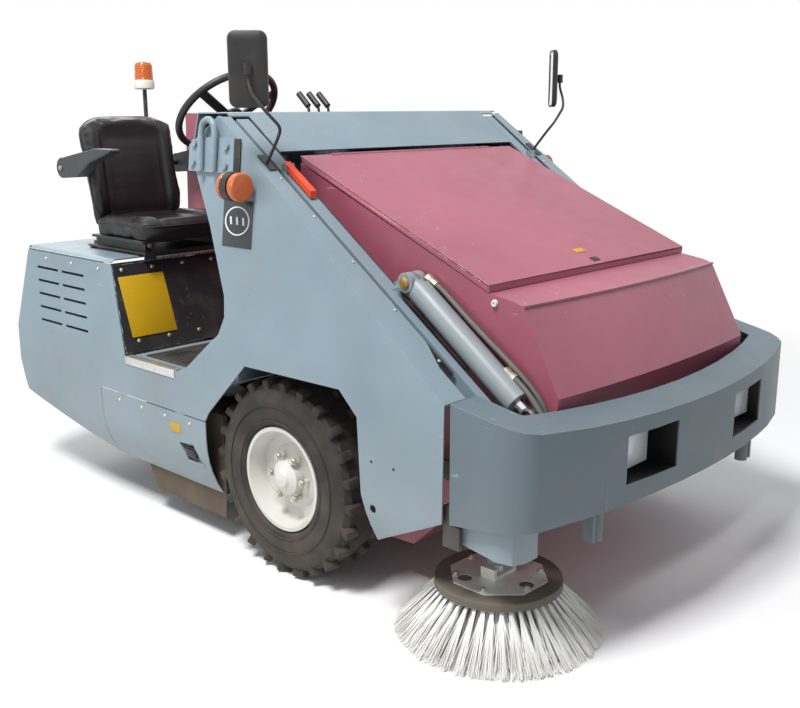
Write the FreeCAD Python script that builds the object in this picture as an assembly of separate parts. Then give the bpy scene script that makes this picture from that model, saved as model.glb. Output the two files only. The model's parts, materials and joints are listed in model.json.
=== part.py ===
"""Ride-on sweeper with a front hopper on lift arms, modelled as separate pieces.

Frame: millimetres, +Z up, the machine faces -Y, its right-hand side is -X.
The shapes are drawn with the front axle at y = 0 and moved by SHIFT_Y when they
are written, so that the finished part stands on its bounding box's bottom centre.
"""
import FreeCAD
import Part
import math
import os

V = FreeCAD.Vector

# ---------------------------------------------------------------- driving sizes
Y_FRONT = -1100.0           # foremost point of the bumper
Y_REAR = 1681.0             # rearmost point of the body
SHIFT_Y = -(Y_FRONT + Y_REAR) / 2.0
SHEET = 4.0                 # body sheet thickness
GAP = 6.0                   # running gap between neighbouring covers

SIDE_X = 811.0              # half width of the body at its widest
CREASE_Z = 760.0            # front crease, above it the side leans inward
REAR_CREASE_Z = 622.0       # the same for the rear part
LEAN = 0.11                 # inward lean per millimetre of height
TUCK_Z = 400.0              # below this height the side rolls inward
TUCK_R = 383.0              # radius of that roll
SKIN_JOIN_Y = 680.0         # where the front skin meets the rear skin
SLANT_Y = -725.0            # a point of the slanted front plane
SLANT_Z = 755.0
SLANT = 0.7212              # its slope
TOP_Z = 1508.0              # top of the cowl
SILL_Z = 618.0              # step-in height
DECK_Z = 967.0              # top of the rear hood
FLANGE_X = 690.0            # inner edge of the slanted flange beside the arm slot
COWL_X = 612.0              # half width of the cowl's slanted face
DOOR = (356.0, 1029.0, 465.0)   # side door: front edge, rear edge, top

TYRE_R = 338.0              # front tyre's radius, width and centre
TYRE_W = 190.0
TYRE_X = 696.0
RIM_R = 176.0
REAR_WHEEL = (0.0, 1290.0, 225.0)   # centre of the steered wheel
REAR_WHEEL_W = 150.0

ARM_X = 647.0               # centre of the lift arms
ARM_W = 50.0
ARM_D = 90.0
LIFT_AXIS = (290.0, 1428.0)     # y, z of the lift pivot
TILT_AXIS = (-770.0, 640.0)     # y, z of the hopper pivot on the arms
HOPPER_X = 555.0            # half width of the hopper
LID_HINGE = (112.0, 1374.0)

DUMP_X = 601.0              # centre of the dump cylinders
DUMP_TOP = (-423.0, 1021.0)
DUMP_LOW = (-862.0, 696.0)
DUMP_R = 37.5
LIFT_LOW = (160.0, 790.0)   # lower pin of the lift cylinders
LIFT_TOP = (196.5, 1284.0)
LIFT_R = 24.0

BUMPER_TOP = 753.0          # bumper's top at its rear, and its fall forward per millimetre
BUMPER_FALL = 0.2
BROOM = (-565.0, -740.0)    # side broom centre
BROOM_R = 318.0
DISC_TOP = 172.0            # top of the side broom's disc
DISC_T = 26.0
DISC_R = 192.0
BROOM_ARM_PIN = (-757.0, 357.0)
MAIN_BROOM = (650.0, 212.0)
MAIN_BROOM_R = 205.0

SEAT_X = -450.0
SIGNAL = (147.0, 1282.0)    # turn signal's centre
SIGNAL_OUT = 56.0           # from the side sheet to its axis
SIGNAL_R = 47.0
LEVER_X = (-264.0, -216.0, -168.0)
LEVER_AXIS = (380.0, 1420.0)
DRIVE_PEDAL_AXIS = (410.0, 680.0)
BRAKE_PEDAL_AXIS = (254.0, 763.0)
WHEEL_HUB = (SEAT_X, 600.0, 1478.0)  # centre of the steering wheel's hub
COLUMN_TILT = 43.0          # degrees from upright
STEER_R = 190.0
PIN_CLEAR = 0.3
PARTS = {}


# ---------------------------------------------------------------- helpers
def box(x0, x1, y0, y1, z0, z1):
    """An upright block between two corners."""
    return Part.makeBox(x1 - x0, y1 - y0, z1 - z0, V(x0, y0, z0))


def rod(start, end, radius):
    """A round bar between two points."""
    start, end = V(*start), V(*end)
    way = end - start
    return Part.makeCylinder(radius, way.Length, start, way)


def rod_x(y, z, x0, x1, radius):
    """A round bar along X."""
    return rod((x0, y, z), (x1, y, z), radius)


def prism_x(outline, x0, x1):
    """A (y, z) outline carried from x0 to x1."""
    points = [V(x0, y, z) for y, z in outline]
    face = Part.Face(Part.makePolygon(points + points[:1]))
    return face.extrude(V(x1 - x0, 0, 0))


def prism_y(outline, y0, y1):
    """A (x, z) outline carried from y0 to y1."""
    points = [V(x, y0, z) for x, z in outline]
    face = Part.Face(Part.makePolygon(points + points[:1]))
    return face.extrude(V(0, y1 - y0, 0))


def prism_z(outline, z0, z1):
    """A (x, y) outline carried from z0 to z1."""
    points = [V(x, y, z0) for x, y in outline]
    face = Part.Face(Part.makePolygon(points + points[:1]))
    return face.extrude(V(0, 0, z1 - z0))


def turned(profile, centre, axis="x"):
    """A closed (radius, along) outline turned about an axis through the centre."""
    cx, cy, cz = centre
    if axis == "x":
        points = [V(cx + a, cy, cz + r) for r, a in profile]
        way = V(1, 0, 0)
    else:
        points = [V(cx + r, cy, cz + a) for r, a in profile]
        way = V(0, 0, 1)
    face = Part.Face(Part.makePolygon(points + points[:1]))
    return face.revolve(V(cx, cy, cz), way, 360)


def mirrored(shape):
    """The same piece on the other side of the machine."""
    return shape.mirror(V(0, 0, 0), V(1, 0, 0))


def both(shape):
    """A piece and its mirror image as two separate solids."""
    return [shape, mirrored(shape)]


def fused(first, *others):
    """One solid from pieces that share volume."""
    return first.fuse(list(others)).removeSplitter()


def slant_z(y):
    """Height of the slanted front plane at y."""
    return SLANT_Z + SLANT * (y - SLANT_Y)


def below_slant(y, depth):
    """Point at a depth square under the slanted plane, from its surface point at y."""
    length = math.hypot(1.0, SLANT)
    return (y + depth * SLANT / length, slant_z(y) - depth / length)


def strip(outline, thickness):
    """A bent sheet in section: the outline and its copy moved inward to the left."""
    inner = []
    for i, (a, b) in enumerate(outline):
        normals = []
        for j in (i - 1, i):
            if 0 <= j < len(outline) - 1:
                (a0, b0), (a1, b1) = outline[j], outline[j + 1]
                size = math.hypot(a1 - a0, b1 - b0)
                normals.append(((b0 - b1) / size, (a1 - a0) / size))
        na = sum(n[0] for n in normals)
        nb = sum(n[1] for n in normals)
        scale = 2.0 / (na * na + nb * nb) if len(normals) == 2 else 1.0
        inner.append((a + na * thickness * scale, b + nb * thickness * scale))
    return outline + inner[::-1]


def moved(shape, dx=0.0, dy=0.0, dz=0.0):
    """A copy of a shape at another place."""
    copy = shape.copy()
    copy.translate(V(dx, dy, dz))
    return copy


def spun(shape, centre, axis, degrees):
    """A copy of a shape turned about an axis."""
    copy = shape.copy()
    copy.rotate(V(*centre), V(*axis), degrees)
    return copy


def solids_of(item):
    """Every solid in a shape or a list of shapes."""
    shapes = item if isinstance(item, list) else [item]
    return [solid for shape in shapes for solid in shape.Solids]


def add(name, item):
    """Keep a piece, given as one shape or a list of separate ones."""
    solids = solids_of(item)
    PARTS[name] = solids[0] if len(solids) == 1 else Part.makeCompound(solids)


# ---------------------------------------------------------------- body sheets
def side_profile(crease, inset=0.0):
    """Right side section in (x, z) from the bottom up, moved inward by inset."""
    points = []
    for step in range(6):
        z = 187.0 + (TUCK_Z - 187.0) * step / 5
        points.append((-SIDE_X + TUCK_R - math.sqrt(TUCK_R ** 2 - (TUCK_Z - z) ** 2), z))
    points.append((-SIDE_X, crease))
    points.append((-SIDE_X + LEAN * (1560.0 - crease), 1560.0))
    return [(x + inset, z) for x, z in points]


def side_skin(y0, y1, crease):
    """Sheet that follows the right side's section, before its outline is cut."""
    outer = side_profile(crease)
    inner = side_profile(crease, SHEET)
    return prism_y(outer + inner[::-1], y0, y1)


def side_outline():
    """Right side outline in (y, z): slant, cowl end, step-in, hood, door and wheel arch."""
    front_y, rear_y, door_z = DOOR
    return [
        (-733, slant_z(-733)), (290, slant_z(290)), (304, 1497), (316, 1497),
        (463, 1400), (455, 1378), (334, 1145), (240, 921), (234, 852), (262, 790), (380, 700),
        (450, 645), (519, SILL_Z), (844, SILL_Z), (962, 950), (1600, 950), (1678, REAR_CREASE_Z),
        (1681, 475), (1640, 342), (rear_y + 3, 189), (rear_y + 3, door_z + 4),
        (front_y, door_z + 4), (332, 505), (124, 706), (-322, 713), (-396, 643),
        (-410, 410), (-457, 268), (-489, 285), (-727, 403)]


def side_panel():
    """Right side panel with its folded slanted flange, vents and holes."""
    skin = fused(side_skin(-760, SKIN_JOIN_Y, CREASE_Z),
                 side_skin(SKIN_JOIN_Y, 1700, REAR_CREASE_Z))
    panel = skin.common(prism_x(side_outline(), -SIDE_X - 20, -600))
    cuts = []
    for row in range(5):
        z = 885 - 53 * row
        rear = 1523 - 11 * row
        for start in (rear - 172, rear - 370):
            cuts.append(box(-SIDE_X - 10, -740, start, start + 170, z - 5, z + 5))
    cuts.append(rod_x(-458, 373, -820, -800, 13))
    cuts += [rod_x(y, z, -820, -800, 5) for y, z in ((-455, 519), (-544, 517))]
    panel = panel.cut(cuts)
    low = -735.0
    high = 300.0
    flange = prism_x([(low, slant_z(low)), (high, slant_z(high)),
                      (high, slant_z(high) - SHEET * 1.23), (low, slant_z(low) - SHEET * 1.23)],
                     -SIDE_X - 10, -FLANGE_X)
    inside = prism_y(side_profile(CREASE_Z, SHEET / 2) + [(0, 1560), (0, 187)], -760, 400)
    notch = prism_z([(-FLANGE_X, -560), (-722, -640), (-722, -760), (-600, -760)], 600, 1000)
    return fused(panel, flange.common(inside).cut(notch))


def lean_prism(y0, y1, inset, crease=CREASE_Z):
    """Space between the two leaning sides, inset from both."""
    right = side_profile(crease, inset)
    left = [(-x, z) for x, z in right]
    return prism_y(right + left[::-1], y0, y1)


def make_panels():
    """Both side panels and the side doors with their latch recesses."""
    right = side_panel()
    add("side_panel_right", right)
    add("side_panel_left", mirrored(right))
    front_y, rear_y, door_z = DOOR
    door = side_skin(front_y, rear_y, CREASE_Z)
    door = door.common(prism_x([(front_y, 187), (rear_y, 187), (rear_y, door_z),
                                (front_y, door_z)], -830, -600))
    recess = prism_x([(525, 356), (437, 364), (397, 296), (484, 297)], -830, -790)
    tray = prism_x([(531, 362), (431, 370), (391, 290), (480, 291)], -800, -780)
    hollow = prism_x([(525, 356), (437, 364), (397, 296), (484, 297)], -802, -784)
    door = fused(door.cut(recess), tray.cut(hollow))
    for y in (480, 860):
        leaf = box(-SIDE_X - 1, -SIDE_X + 3, y, y + 50, door_z - 0.2, door_z + 2)
        knuckle = rod((-SIDE_X, y, door_z + 2), (-SIDE_X, y + 50, door_z + 2), 1.6)
        door = fused(door, leaf, knuckle)
    add("side_door_right", door)
    add("side_door_left", mirrored(door))
    skirt = prism_x([(832, 176), (792, 88), (357, 88), (351, 176), (351, 476), (832, 476)],
                    -738, -732)
    hanger = box(-738, -600, 351, 560, 470, 476)
    add("dust_skirts", both(fused(skirt, hanger)))


def make_cowl():
    """Cowl between the panels: slanted face, top, dash and the operator's bulkhead."""
    section = [(148, slant_z(148)), (316, slant_z(316)), (322, TOP_Z), (440, TOP_Z),
               (459, 1402), (334, 1145), (240, 921), (228, 850), (228, 624)]
    sheet = prism_x(strip(section, -SHEET), -760, 760)
    sheet = sheet.common(lean_prism(0, 700, GAP + SHEET))
    arm_slot = box(-FLANGE_X - 10, -COWL_X, 100, 304, 1300, 1600)
    flange_room = box(-800, -FLANGE_X - 2, 100, 318, 1250, 1600)
    cuts = both(arm_slot) + both(flange_room)
    for x in LEVER_X:
        cuts.append(box(x - 13, x + 13, 336, 434, TOP_Z - 20, TOP_Z + 20))
    cuts.append(rod((SEAT_X, 228, 1079), (SEAT_X, 480, 1349), 32))
    add("cowl", sheet.cut(cuts))


def make_hood():
    """Rear hood top, rear panel with its grille, front panel and the engine cabinet."""
    top_x = SIDE_X - LEAN * (DECK_Z - 15 - REAR_CREASE_Z)
    arc = [(30 * math.cos(math.radians(a)), 30 * math.sin(math.radians(a))) for a in (0, 22, 45, 68, 90)]
    right = [(-(top_x - 30) - c, DECK_Z - 30 + s) for c, s in arc]
    right = [(-top_x + 0.4, 956)] + [(x, z) for x, z in right if z > 957]
    outline = right + [(-x, z) for x, z in right[::-1]]
    sheet = prism_y(strip(outline, -SHEET), 966, 1596)
    opening = box(-610, -290, 1010, 1310, 940, 990)
    cabinet_hole = box(-90, 690, 1010, 1300, 940, 990)
    add("hood_top", sheet.cut([opening, cabinet_hole]))
    rear = strip([(1604, DECK_Z - 2), (1674, REAR_CREASE_Z), (1677, 475), (1636, 346)], -SHEET)
    rear = prism_x(rear, -800, 800).common(lean_prism(1500, 1700, GAP, REAR_CREASE_Z))
    slots = [box(x, x + 250, 1600, 1700, 660 + 36 * i, 672 + 36 * i)
             for i in range(7) for x in (-415, -125, 165)]
    add("rear_panel", rear.cut(slots))
    front = strip([(846, SILL_Z + 8), (960, 945)], -SHEET)
    front = prism_x(front, -800, -136).common(lean_prism(700, 1100, GAP, REAR_CREASE_Z))
    add("hood_front_panel", front)
    profile = [(344, 628), (344, 1150), (472, 1402), (452, TOP_Z - 8), (1350, TOP_Z - 8),
               (1370, DECK_Z + 1), (962, DECK_Z + 1), (846, 628)]
    inner = [(348, 620), (348, 1149), (476.4, 1402), (456.5, TOP_Z - 12), (1346, TOP_Z - 12),
             (1366.4, DECK_Z - 8), (956, DECK_Z - 8), (841, 620)]
    solid = prism_x(profile, -130, 790).common(lean_prism(300, 1500, GAP + SHEET, REAR_CREASE_Z))
    hollow = prism_x(inner, -126, 790).common(lean_prism(300, 1500, GAP + SHEET * 2, REAR_CREASE_Z))
    add("engine_cabinet", solid.cut(hollow))


def make_floor():
    """Operator's floor, the two pedals on it and the ears that carry them."""
    floor = box(-792, -140, 236, 842, SILL_Z - 6, SILL_Z)
    y, z = DRIVE_PEDAL_AXIS
    tread = prism_x([(300, 654), (520, 712), (524, 702), (304, 644)], -360, -280)
    add("drive_pedal", fused(tread, rod_x(y, z, -373, -267, 7)))
    ear = box(-373, -365, y - 12, y + 12, SILL_Z - 6, z + 14).cut(rod_x(y, z, -380, -260, 7 + PIN_CLEAR))
    ears = [ear, moved(ear, 98)]
    slot = box(-373 - GAP, -365 + GAP, y - 12 - GAP, y + 12 + GAP, SILL_Z - 7, SILL_Z + 1)
    floor = floor.common(lean_prism(200, 900, GAP))
    add("floor_plate", floor.cut([slot, moved(slot, 98)]))
    y, z = BRAKE_PEDAL_AXIS
    arm = prism_x([(250, 760), (258, 766), (470, 692), (462, 682)], -532, -518)
    add("brake_pedal", fused(box(-560, -490, 430, 500, 682, 692), arm, rod_x(y, z, -545, -505, 14),
                             rod_x(y, z, -559, -491, 6)))
    ear = box(-559, -548, 236, y + 20, z - 24, z + 24).cut(rod_x(y, z, -570, -480, 6 + PIN_CLEAR))
    return ears + [ear, moved(ear, 57)]


# ---------------------------------------------------------------- frame and inside
def make_frame():
    """Welded frame: rails, cross members, posts, axle beam, arm and axle brackets."""
    rail = box(-600, -568, -380, 560, 430, 560)
    rear_rail = box(-330, -270, 620, 1600, 470, 560)
    bars = both(rail) + both(rear_rail)
    bars.append(box(-600, 600, 560, 620, 470, 560))
    bars.append(box(-270, 270, 1060, 1130, 490, 560))
    bars.append(box(-560, 560, 1600, 1630, 430, 560))
    post = box(-600, -568, 168, 220, 560, 1370)
    bars += both(post)
    stub = fused(box(-612, -600, -70, 70, 280, 500), rod_x(0, TYRE_R, -765, -600, 30))
    bars += both(stub)
    bars += both(fused(box(-618, -600, 255, 322, 1340, 1444), box(-618, -600, 168, 322, 1300, 1360)))
    bars += both(rod_x(*LIFT_AXIS, -684, -618, 18))
    low = fused(box(-682, -600, 130, 190, 745, 756),
                box(-682, -672, 130, 190, 745, 815),
                box(-622, -612, 130, 190, 745, 815))
    low = low.cut(rod_x(*LIFT_LOW, -700, -590, 12 + PIN_CLEAR))
    bars += both(low)
    head = fused(box(-150, 150, 1200, 1380, 560, 580), box(-270, -150, 1240, 1340, 500, 580),
                 box(150, 270, 1240, 1340, 500, 580))
    bars.append(head.cut(rod((0, 1290, 540), (0, 1290, 600), 35 + PIN_CLEAR)))
    arm_ear = box(-560, -548, 560, 620, 400, 470)
    bars += both(arm_ear.cut(rod_x(590, 430, -570, -530, 12 + PIN_CLEAR)))
    guide = fused(box(-792, -781, -775, -716, 330, 398), box(-792, -781, -742, -716, 330, 452),
                  box(-792, -600, -728, -716, 440, 452), box(-612, -600, -728, -380, 440, 500))
    bars += both(guide)
    return bars


def make_engine():
    """Engine, radiator, hydraulic tank and rear counterweight inside the covers."""
    block = fused(box(60, 460, 1000, 1300, 600, 880), box(110, 410, 1030, 1270, 880, 960),
                  rod((260, 1300, 720), (260, 1350, 720), 90))
    add("engine_block", block)
    core = box(-60, 560, 1440, 1500, 580, 900)
    fins = [box(-40 + 100 * i, 40 + 100 * i, 1430, 1445, 600, 880) for i in range(6)]
    add("radiator", core.cut(fins))
    tank = box(100, 640, 420, 820, 650, 1250)
    neck = rod((200, 520, 1250), (200, 520, 1290), 35)
    add("hydraulic_tank", fused(tank, neck))


def make_rear_wheel():
    """Steered rear wheel in its fork."""
    x, y, z = REAR_WHEEL
    half = REAR_WHEEL_W / 2
    fork = fused(rod((x, y, 491), (x, y, 600), 35), box(x - 115, x + 115, y - 45, y + 45, 470, 492),
                 box(x - 115, x - 95, y - 45, y + 45, z - 45, 492),
                 box(x + 95, x + 115, y - 45, y + 45, z - 45, 492),
                 rod_x(y, z, x - 115, x + 115, 16))
    add("rear_fork", fork)
    profile = [(16.3, -90), (45, -90), (45, -half), (205, -half), (z, -half + 20),
               (z, half - 20), (205, half), (45, half), (45, 90), (16.3, 90)]
    add("rear_wheel", turned(profile, REAR_WHEEL))


def make_main_broom():
    """Cylindrical main broom, its shaft and the two trailing arms."""
    y, z = MAIN_BROOM
    broom = turned([(14, -520), (70, -520), (70, -500), (MAIN_BROOM_R, -500), (MAIN_BROOM_R, 500),
                    (70, 500), (70, 520), (14, 520), (14, 505), (150, 470), (150, -470), (14, -505)],
                   (0, y, z))
    add("main_broom", broom)
    arm = fused(prism_x([(575, 455), (605, 455), (690, 190), (620, 180)], -546, -532),
                rod_x(590, 430, -560, -532, 12), rod_x(y, z, -546, -505, 13.7))
    add("main_broom_arms", both(arm))


# ---------------------------------------------------------------- front end
def bumper_plan(offset):
    """Half plan of the bumper from the right rear corner to the centre, moved inward."""
    corner_r = 130.0
    front_r = 2830.0
    centre_y = Y_FRONT + front_r
    points = [(-SIDE_X + 6 + offset, -750), (-795 + offset, -885)]
    cx, cy = -795 + corner_r, -885
    for a in (20, 40, 60):
        angle = math.radians(a)
        points.append((cx - (corner_r - offset) * math.cos(angle), cy - (corner_r - offset) * math.sin(angle)))
    for x in (-560, -430, -290, -145, 0):
        points.append((x, centre_y - math.sqrt((front_r - offset) ** 2 - x * x)))
    return points


def bumper_ring(inner, outer, z0, z1):
    """Closed plan band between two offsets of the bumper's line."""
    out = bumper_plan(outer)
    back = bumper_plan(inner)
    full_out = out + [(-x, y) for x, y in out[-2::-1]]
    full_in = back + [(-x, y) for x, y in back[-2::-1]]
    return prism_z(full_out + full_in[::-1], z0, z1)


def make_bumper():
    """Wrap-around bumper on the hopper: upright skin, wide top flange, lamp windows, feet."""
    front = (-1200, BUMPER_TOP - BUMPER_FALL * 450)
    rear = (-700, BUMPER_TOP + BUMPER_FALL * 50)
    side = prism_x([front, rear, (-700, 400), (-1200, 455)], -900, 900)
    skin = bumper_ring(SHEET + 1, 0, 380, 780).common(side)
    top = prism_x([front, rear, (rear[0], rear[1] - SHEET), (front[0], front[1] - SHEET)], -900, 900)
    flange = bumper_ring(112, 2, 600, 780).common(top)
    bracket = prism_x([(-1056, 440), (-847, 440), (-887, 520), (-1056, 520)], -499, -486)
    foot = fused(rod((-462, -1000, 330), (-462, -1000, 470), 21), box(-499, -486, -1017, -984, 332, 445),
                 box(-499, -455, -988, -982, 332, 445))
    bumper = fused(skin, flange, bracket, mirrored(bracket), foot, mirrored(foot))
    windows = []
    for side in (-1, 1):
        windows.append(box(side * 300 - 120, side * 300 + 120, -1130, -1030, 497, 640))
    add("bumper", bumper.cut(windows))
    lamps = []
    lenses = []
    line = bumper_plan(SHEET + 2)
    behind_skin = prism_z(line + [(-x, y) for x, y in line[-2::-1]], 400, 700)
    for side in (-1, 1):
        x0 = side * 300 - 122
        x1 = side * 300 + 122
        can = box(x0 - 4, x1 + 4, -1110, -988, 492, 645)
        can = can.cut(box(x0, x1, -1120, -992, 496, 641))
        lamps.append(can.common(behind_skin))
        cx = side * 340
        lenses.append(box(cx - 78, cx + 66, -1040, -992.2, 520, 632))
    add("headlight_housings", lamps)
    add("headlight_lenses", lenses)


def make_arms():
    """Lift arms with their pivots, cylinder lugs and the lock handle of the right-hand arm."""
    top_y = LIFT_AXIS[0] - 28
    low_y = -800.0
    corners = [below_slant(low_y, 3), below_slant(top_y + 30, 3), below_slant(top_y + 30, ARM_D),
               below_slant(low_y, ARM_D)]
    half = ARM_W / 2
    bar = prism_x(corners, -ARM_X - half, -ARM_X + half)
    bar = fused(bar, rod_x(*LIFT_AXIS, -ARM_X - half, -ARM_X + half, 43))
    bar = bar.cut(rod_x(*LIFT_AXIS, -700, -600, 18 + PIN_CLEAR))
    lug_y, lug_z = LIFT_TOP
    lug = fused(rod_x(lug_y, lug_z, -ARM_X - 5, -ARM_X + 5, 35),
                prism_x([(lug_y - 45, lug_z + 40), (lug_y + 20, lug_z + 70), (lug_y + 28, lug_z),
                         (lug_y - 28, lug_z)], -ARM_X - 5, -ARM_X + 5))
    lug = lug.cut(rod_x(lug_y, lug_z, -700, -600, 25))
    top_lug = prism_x([(DUMP_TOP[0] - 30, DUMP_TOP[1] - 10), (DUMP_TOP[0] + 10, DUMP_TOP[1] + 26),
                       (DUMP_TOP[0] + 70, DUMP_TOP[1] - 10), (DUMP_TOP[0] + 20, DUMP_TOP[1] - 70)],
                      -607, -595)
    bridge = prism_x([(DUMP_TOP[0] + 35, DUMP_TOP[1] - 20), (DUMP_TOP[0] + 70, DUMP_TOP[1] - 10),
                      (DUMP_TOP[0] + 50, DUMP_TOP[1] - 60), (DUMP_TOP[0] + 20, DUMP_TOP[1] - 60)],
                     -ARM_X, -595)
    top_lug = top_lug.cut(rod_x(*DUMP_TOP, -620, -590, 14 + PIN_CLEAR))
    slim_x = DUMP_X + DUMP_R + 2.5
    bar = bar.cut(box(-slim_x, -600, -900, DUMP_TOP[0] + 36, 500, 1100))
    bar = fused(bar, rod_x(*TILT_AXIS, -ARM_X - half, -slim_x, 40))
    pivot = rod_x(*TILT_AXIS, -ARM_X - half, -547, 20)
    hinge_y = 70.0
    hinge_z = slant_z(hinge_y) + 14
    ear = prism_x([(hinge_y - 12, slant_z(hinge_y - 12) - 10), (hinge_y + 12, slant_z(hinge_y + 12) - 10),
                   (hinge_y + 8, hinge_z + 8), (hinge_y - 8, hinge_z + 8)], -ARM_X - 19, -ARM_X - 13)
    ear = ear.cut(rod_x(hinge_y, hinge_z, -700, -600, 4 + PIN_CLEAR))
    arm = fused(bar, lug, top_lug, bridge, pivot, ear, moved(ear, 32))
    add("lift_arms", both(arm))
    y0 = hinge_y - 117.0
    y1 = hinge_y + 6
    grip = prism_x([(y0, slant_z(y0) + 4), (y1, slant_z(y1) + 4), (y1, slant_z(y1) + 24),
                    (y0, slant_z(y0) + 26)], -ARM_X - 12.5, -ARM_X + 12.5)
    add("lock_handle", fused(grip, rod_x(hinge_y, hinge_z, -ARM_X - 19, -ARM_X + 19, 4)))


def nose_sheet():
    """Hopper nose under its lip: a sheet that bulges forward at the middle, and the lip."""
    lip_y = -797.0
    lip_z = 986.0
    low_y = -925.0
    low_z = 746.0
    bulge = 28.0
    steps = [-HOPPER_X + i * HOPPER_X / 4 for i in range(9)]
    front = [(x, low_y - bulge * (1 - (x / HOPPER_X) ** 2)) for x in steps]
    plan = front + [(HOPPER_X, low_y + 8), (-HOPPER_X, low_y + 8)]
    points = [V(x, y, low_z) for x, y in plan]
    sheet = Part.Face(Part.makePolygon(points + points[:1])).extrude(V(0, lip_y - low_y, lip_z - low_z))
    edge = [(x, y + lip_y - low_y - 6) for x, y in front]
    lip = prism_z(edge + [(HOPPER_X, -764), (-HOPPER_X, -764)], 984, 990)
    return [lip, sheet]


def make_hopper():
    """Hopper shell with its nose, and the lid."""
    outline = [(116, 1345), (-678, 1011), (-764, 998), (-797, 987), (-925, 746), (-905, 560),
               (-840, 430), (-560, 320), (-389, 158), (-40, 140), (140, 470), (140, 900)]
    inner = [(108, 1336), (-676, 1005), (-764, 992), (-793, 982), (-919, 746), (-899, 562),
             (-836, 436), (-558, 326), (-387, 164), (-44, 146), (134, 472), (134, 900)]
    broom_room = 500.0
    room_top = 480.0
    solid = prism_x(outline, -HOPPER_X, HOPPER_X)
    cavity = prism_x(inner, -HOPPER_X + 5, HOPPER_X - 5)
    for side in (-1, 1):
        far = side * 700
        solid = solid.cut(box(*sorted((far, side * broom_room)), -1000, -600, 0, room_top))
        cavity = cavity.cut(box(*sorted((far, side * (broom_room - 5))), -1000, -595, 0, room_top + 5))
    inlet = box(-HOPPER_X + 30, HOPPER_X - 30, -60, 260, 190, 440)
    hatch = prism_x([(60, 1400), (60, 1250), (-630, 960), (-630, 1100)], -500, 500)
    shell = solid.cut(cavity).cut([inlet, hatch])
    shell = fused(shell, *nose_sheet())
    y, z = TILT_AXIS
    boss = rod_x(y, z, -562, -550, 40)
    hole = rod_x(y, z, -570, -540, 20 + PIN_CLEAR)
    dy, dz = DUMP_LOW
    ear = fused(prism_x([(dy - 20, dz - 22), (dy + 22, dz + 24), (-800, 760), (-800, 640)], -562, -552),
                rod_x(dy, dz, -607, -552, 11))
    shell = fused(shell, boss, mirrored(boss), ear, mirrored(ear))
    add("hopper_shell", shell.cut([hole, mirrored(hole)]))
    hy, hz = LID_HINGE
    half = HOPPER_X + 3
    front_y = -678
    front_z = 1035
    sheet = 6.6
    slope = (1370 - front_z) / (hy - front_y)
    under = front_z - sheet
    top = prism_x([(hy, 1370), (front_y, front_z), (front_y, under), (hy, 1370 - sheet)], -half, half)
    top = fused(top, rod_x(hy, hz - 6, -420, 420, 6))
    lip_y = front_y + 6
    lip_top = under + 6 * slope
    lip = prism_x([(front_y, under), (lip_y, lip_top), (lip_y, 1016), (front_y, 1013)], -half, half)
    flank = prism_x([(lip_y, lip_top), (hy - 6, 1370 - sheet - 6 * slope), (hy - 6, 1348), (lip_y, 1016)],
                    -half, -HOPPER_X - 0.4)
    add("hopper_lid", [top, lip] + both(flank))


def make_cylinders():
    """Dump and lift cylinders: barrels with their clevises, and the rods."""
    top = V(-DUMP_X, *DUMP_TOP)
    low = V(-DUMP_X, *DUMP_LOW)
    way = low - top
    way.normalize()
    start = top + way * 62
    end = top + way * (V(low - top).Length - 52)
    barrel = Part.makeCylinder(DUMP_R, (end - start).Length, start, way)
    cap = Part.makeCylinder(DUMP_R, 40, top + way * 36, way)
    ears = rod_x(*DUMP_TOP, -DUMP_X - 32, -DUMP_X + 32, 30)
    neck = Part.makeCylinder(30, 40, top, way)
    body = fused(barrel, cap, ears, neck)
    body = body.cut(box(-DUMP_X - 8, -DUMP_X + 8.5, DUMP_TOP[0] - 34, DUMP_TOP[0] + 90, DUMP_TOP[1] - 80,
                        DUMP_TOP[1] + 60))
    body = fused(body, rod_x(*DUMP_TOP, -DUMP_X - 36, -DUMP_X + 36, 14))
    bore_start = end - way * 430
    body = body.cut(Part.makeCylinder(17 + PIN_CLEAR, 440, bore_start, way))
    add("dump_barrels", both(max(body.Solids, key=lambda s: s.Volume)))
    rod_start = bore_start + way * 20
    bar = Part.makeCylinder(17, (low - rod_start).Length - 20, rod_start, way)
    eye = rod_x(*DUMP_LOW, -DUMP_X - 14, -DUMP_X + 14, 25)
    eye = eye.cut(rod_x(*DUMP_LOW, -DUMP_X - 20, -DUMP_X + 20, 18))
    bar = bar.cut(rod_x(*DUMP_LOW, -DUMP_X - 20, -DUMP_X + 20, 18))
    add("dump_rods", both(fused(bar, eye)))

    base = V(-ARM_X, *LIFT_LOW)
    lug = V(-ARM_X, *LIFT_TOP)
    up = lug - base
    up.normalize()
    tube = Part.makeCylinder(LIFT_R, 360, base + up * 30, up)
    foot = fused(rod_x(*LIFT_LOW, -ARM_X - 20, -ARM_X + 20, 22), Part.makeCylinder(16, 40, base, up))
    pin = rod_x(*LIFT_LOW, -ARM_X - 38, -ARM_X + 38, 12)
    tube = fused(tube, foot, pin).cut(Part.makeCylinder(12 + PIN_CLEAR, 300, base + up * 100, up))
    add("lift_barrels", both(tube))
    shaft = Part.makeCylinder(12, lug.sub(base).Length - 178, base + up * 110, up)
    fork = fused(box(-ARM_X - 18, -ARM_X + 18, lug.y - 14, lug.y + 14, lug.z - 78, lug.z - 64),
                 box(-ARM_X - 18, -ARM_X - 9, lug.y - 14, lug.y + 14, lug.z - 78, lug.z + 8.5),
                 box(-ARM_X + 9, -ARM_X + 18, lug.y - 14, lug.y + 14, lug.z - 78, lug.z + 8.5),
                 rod_x(lug.y, lug.z, -ARM_X - 18, -ARM_X + 18, 8))
    add("lift_rods", both(fused(shaft, fork)))


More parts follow.
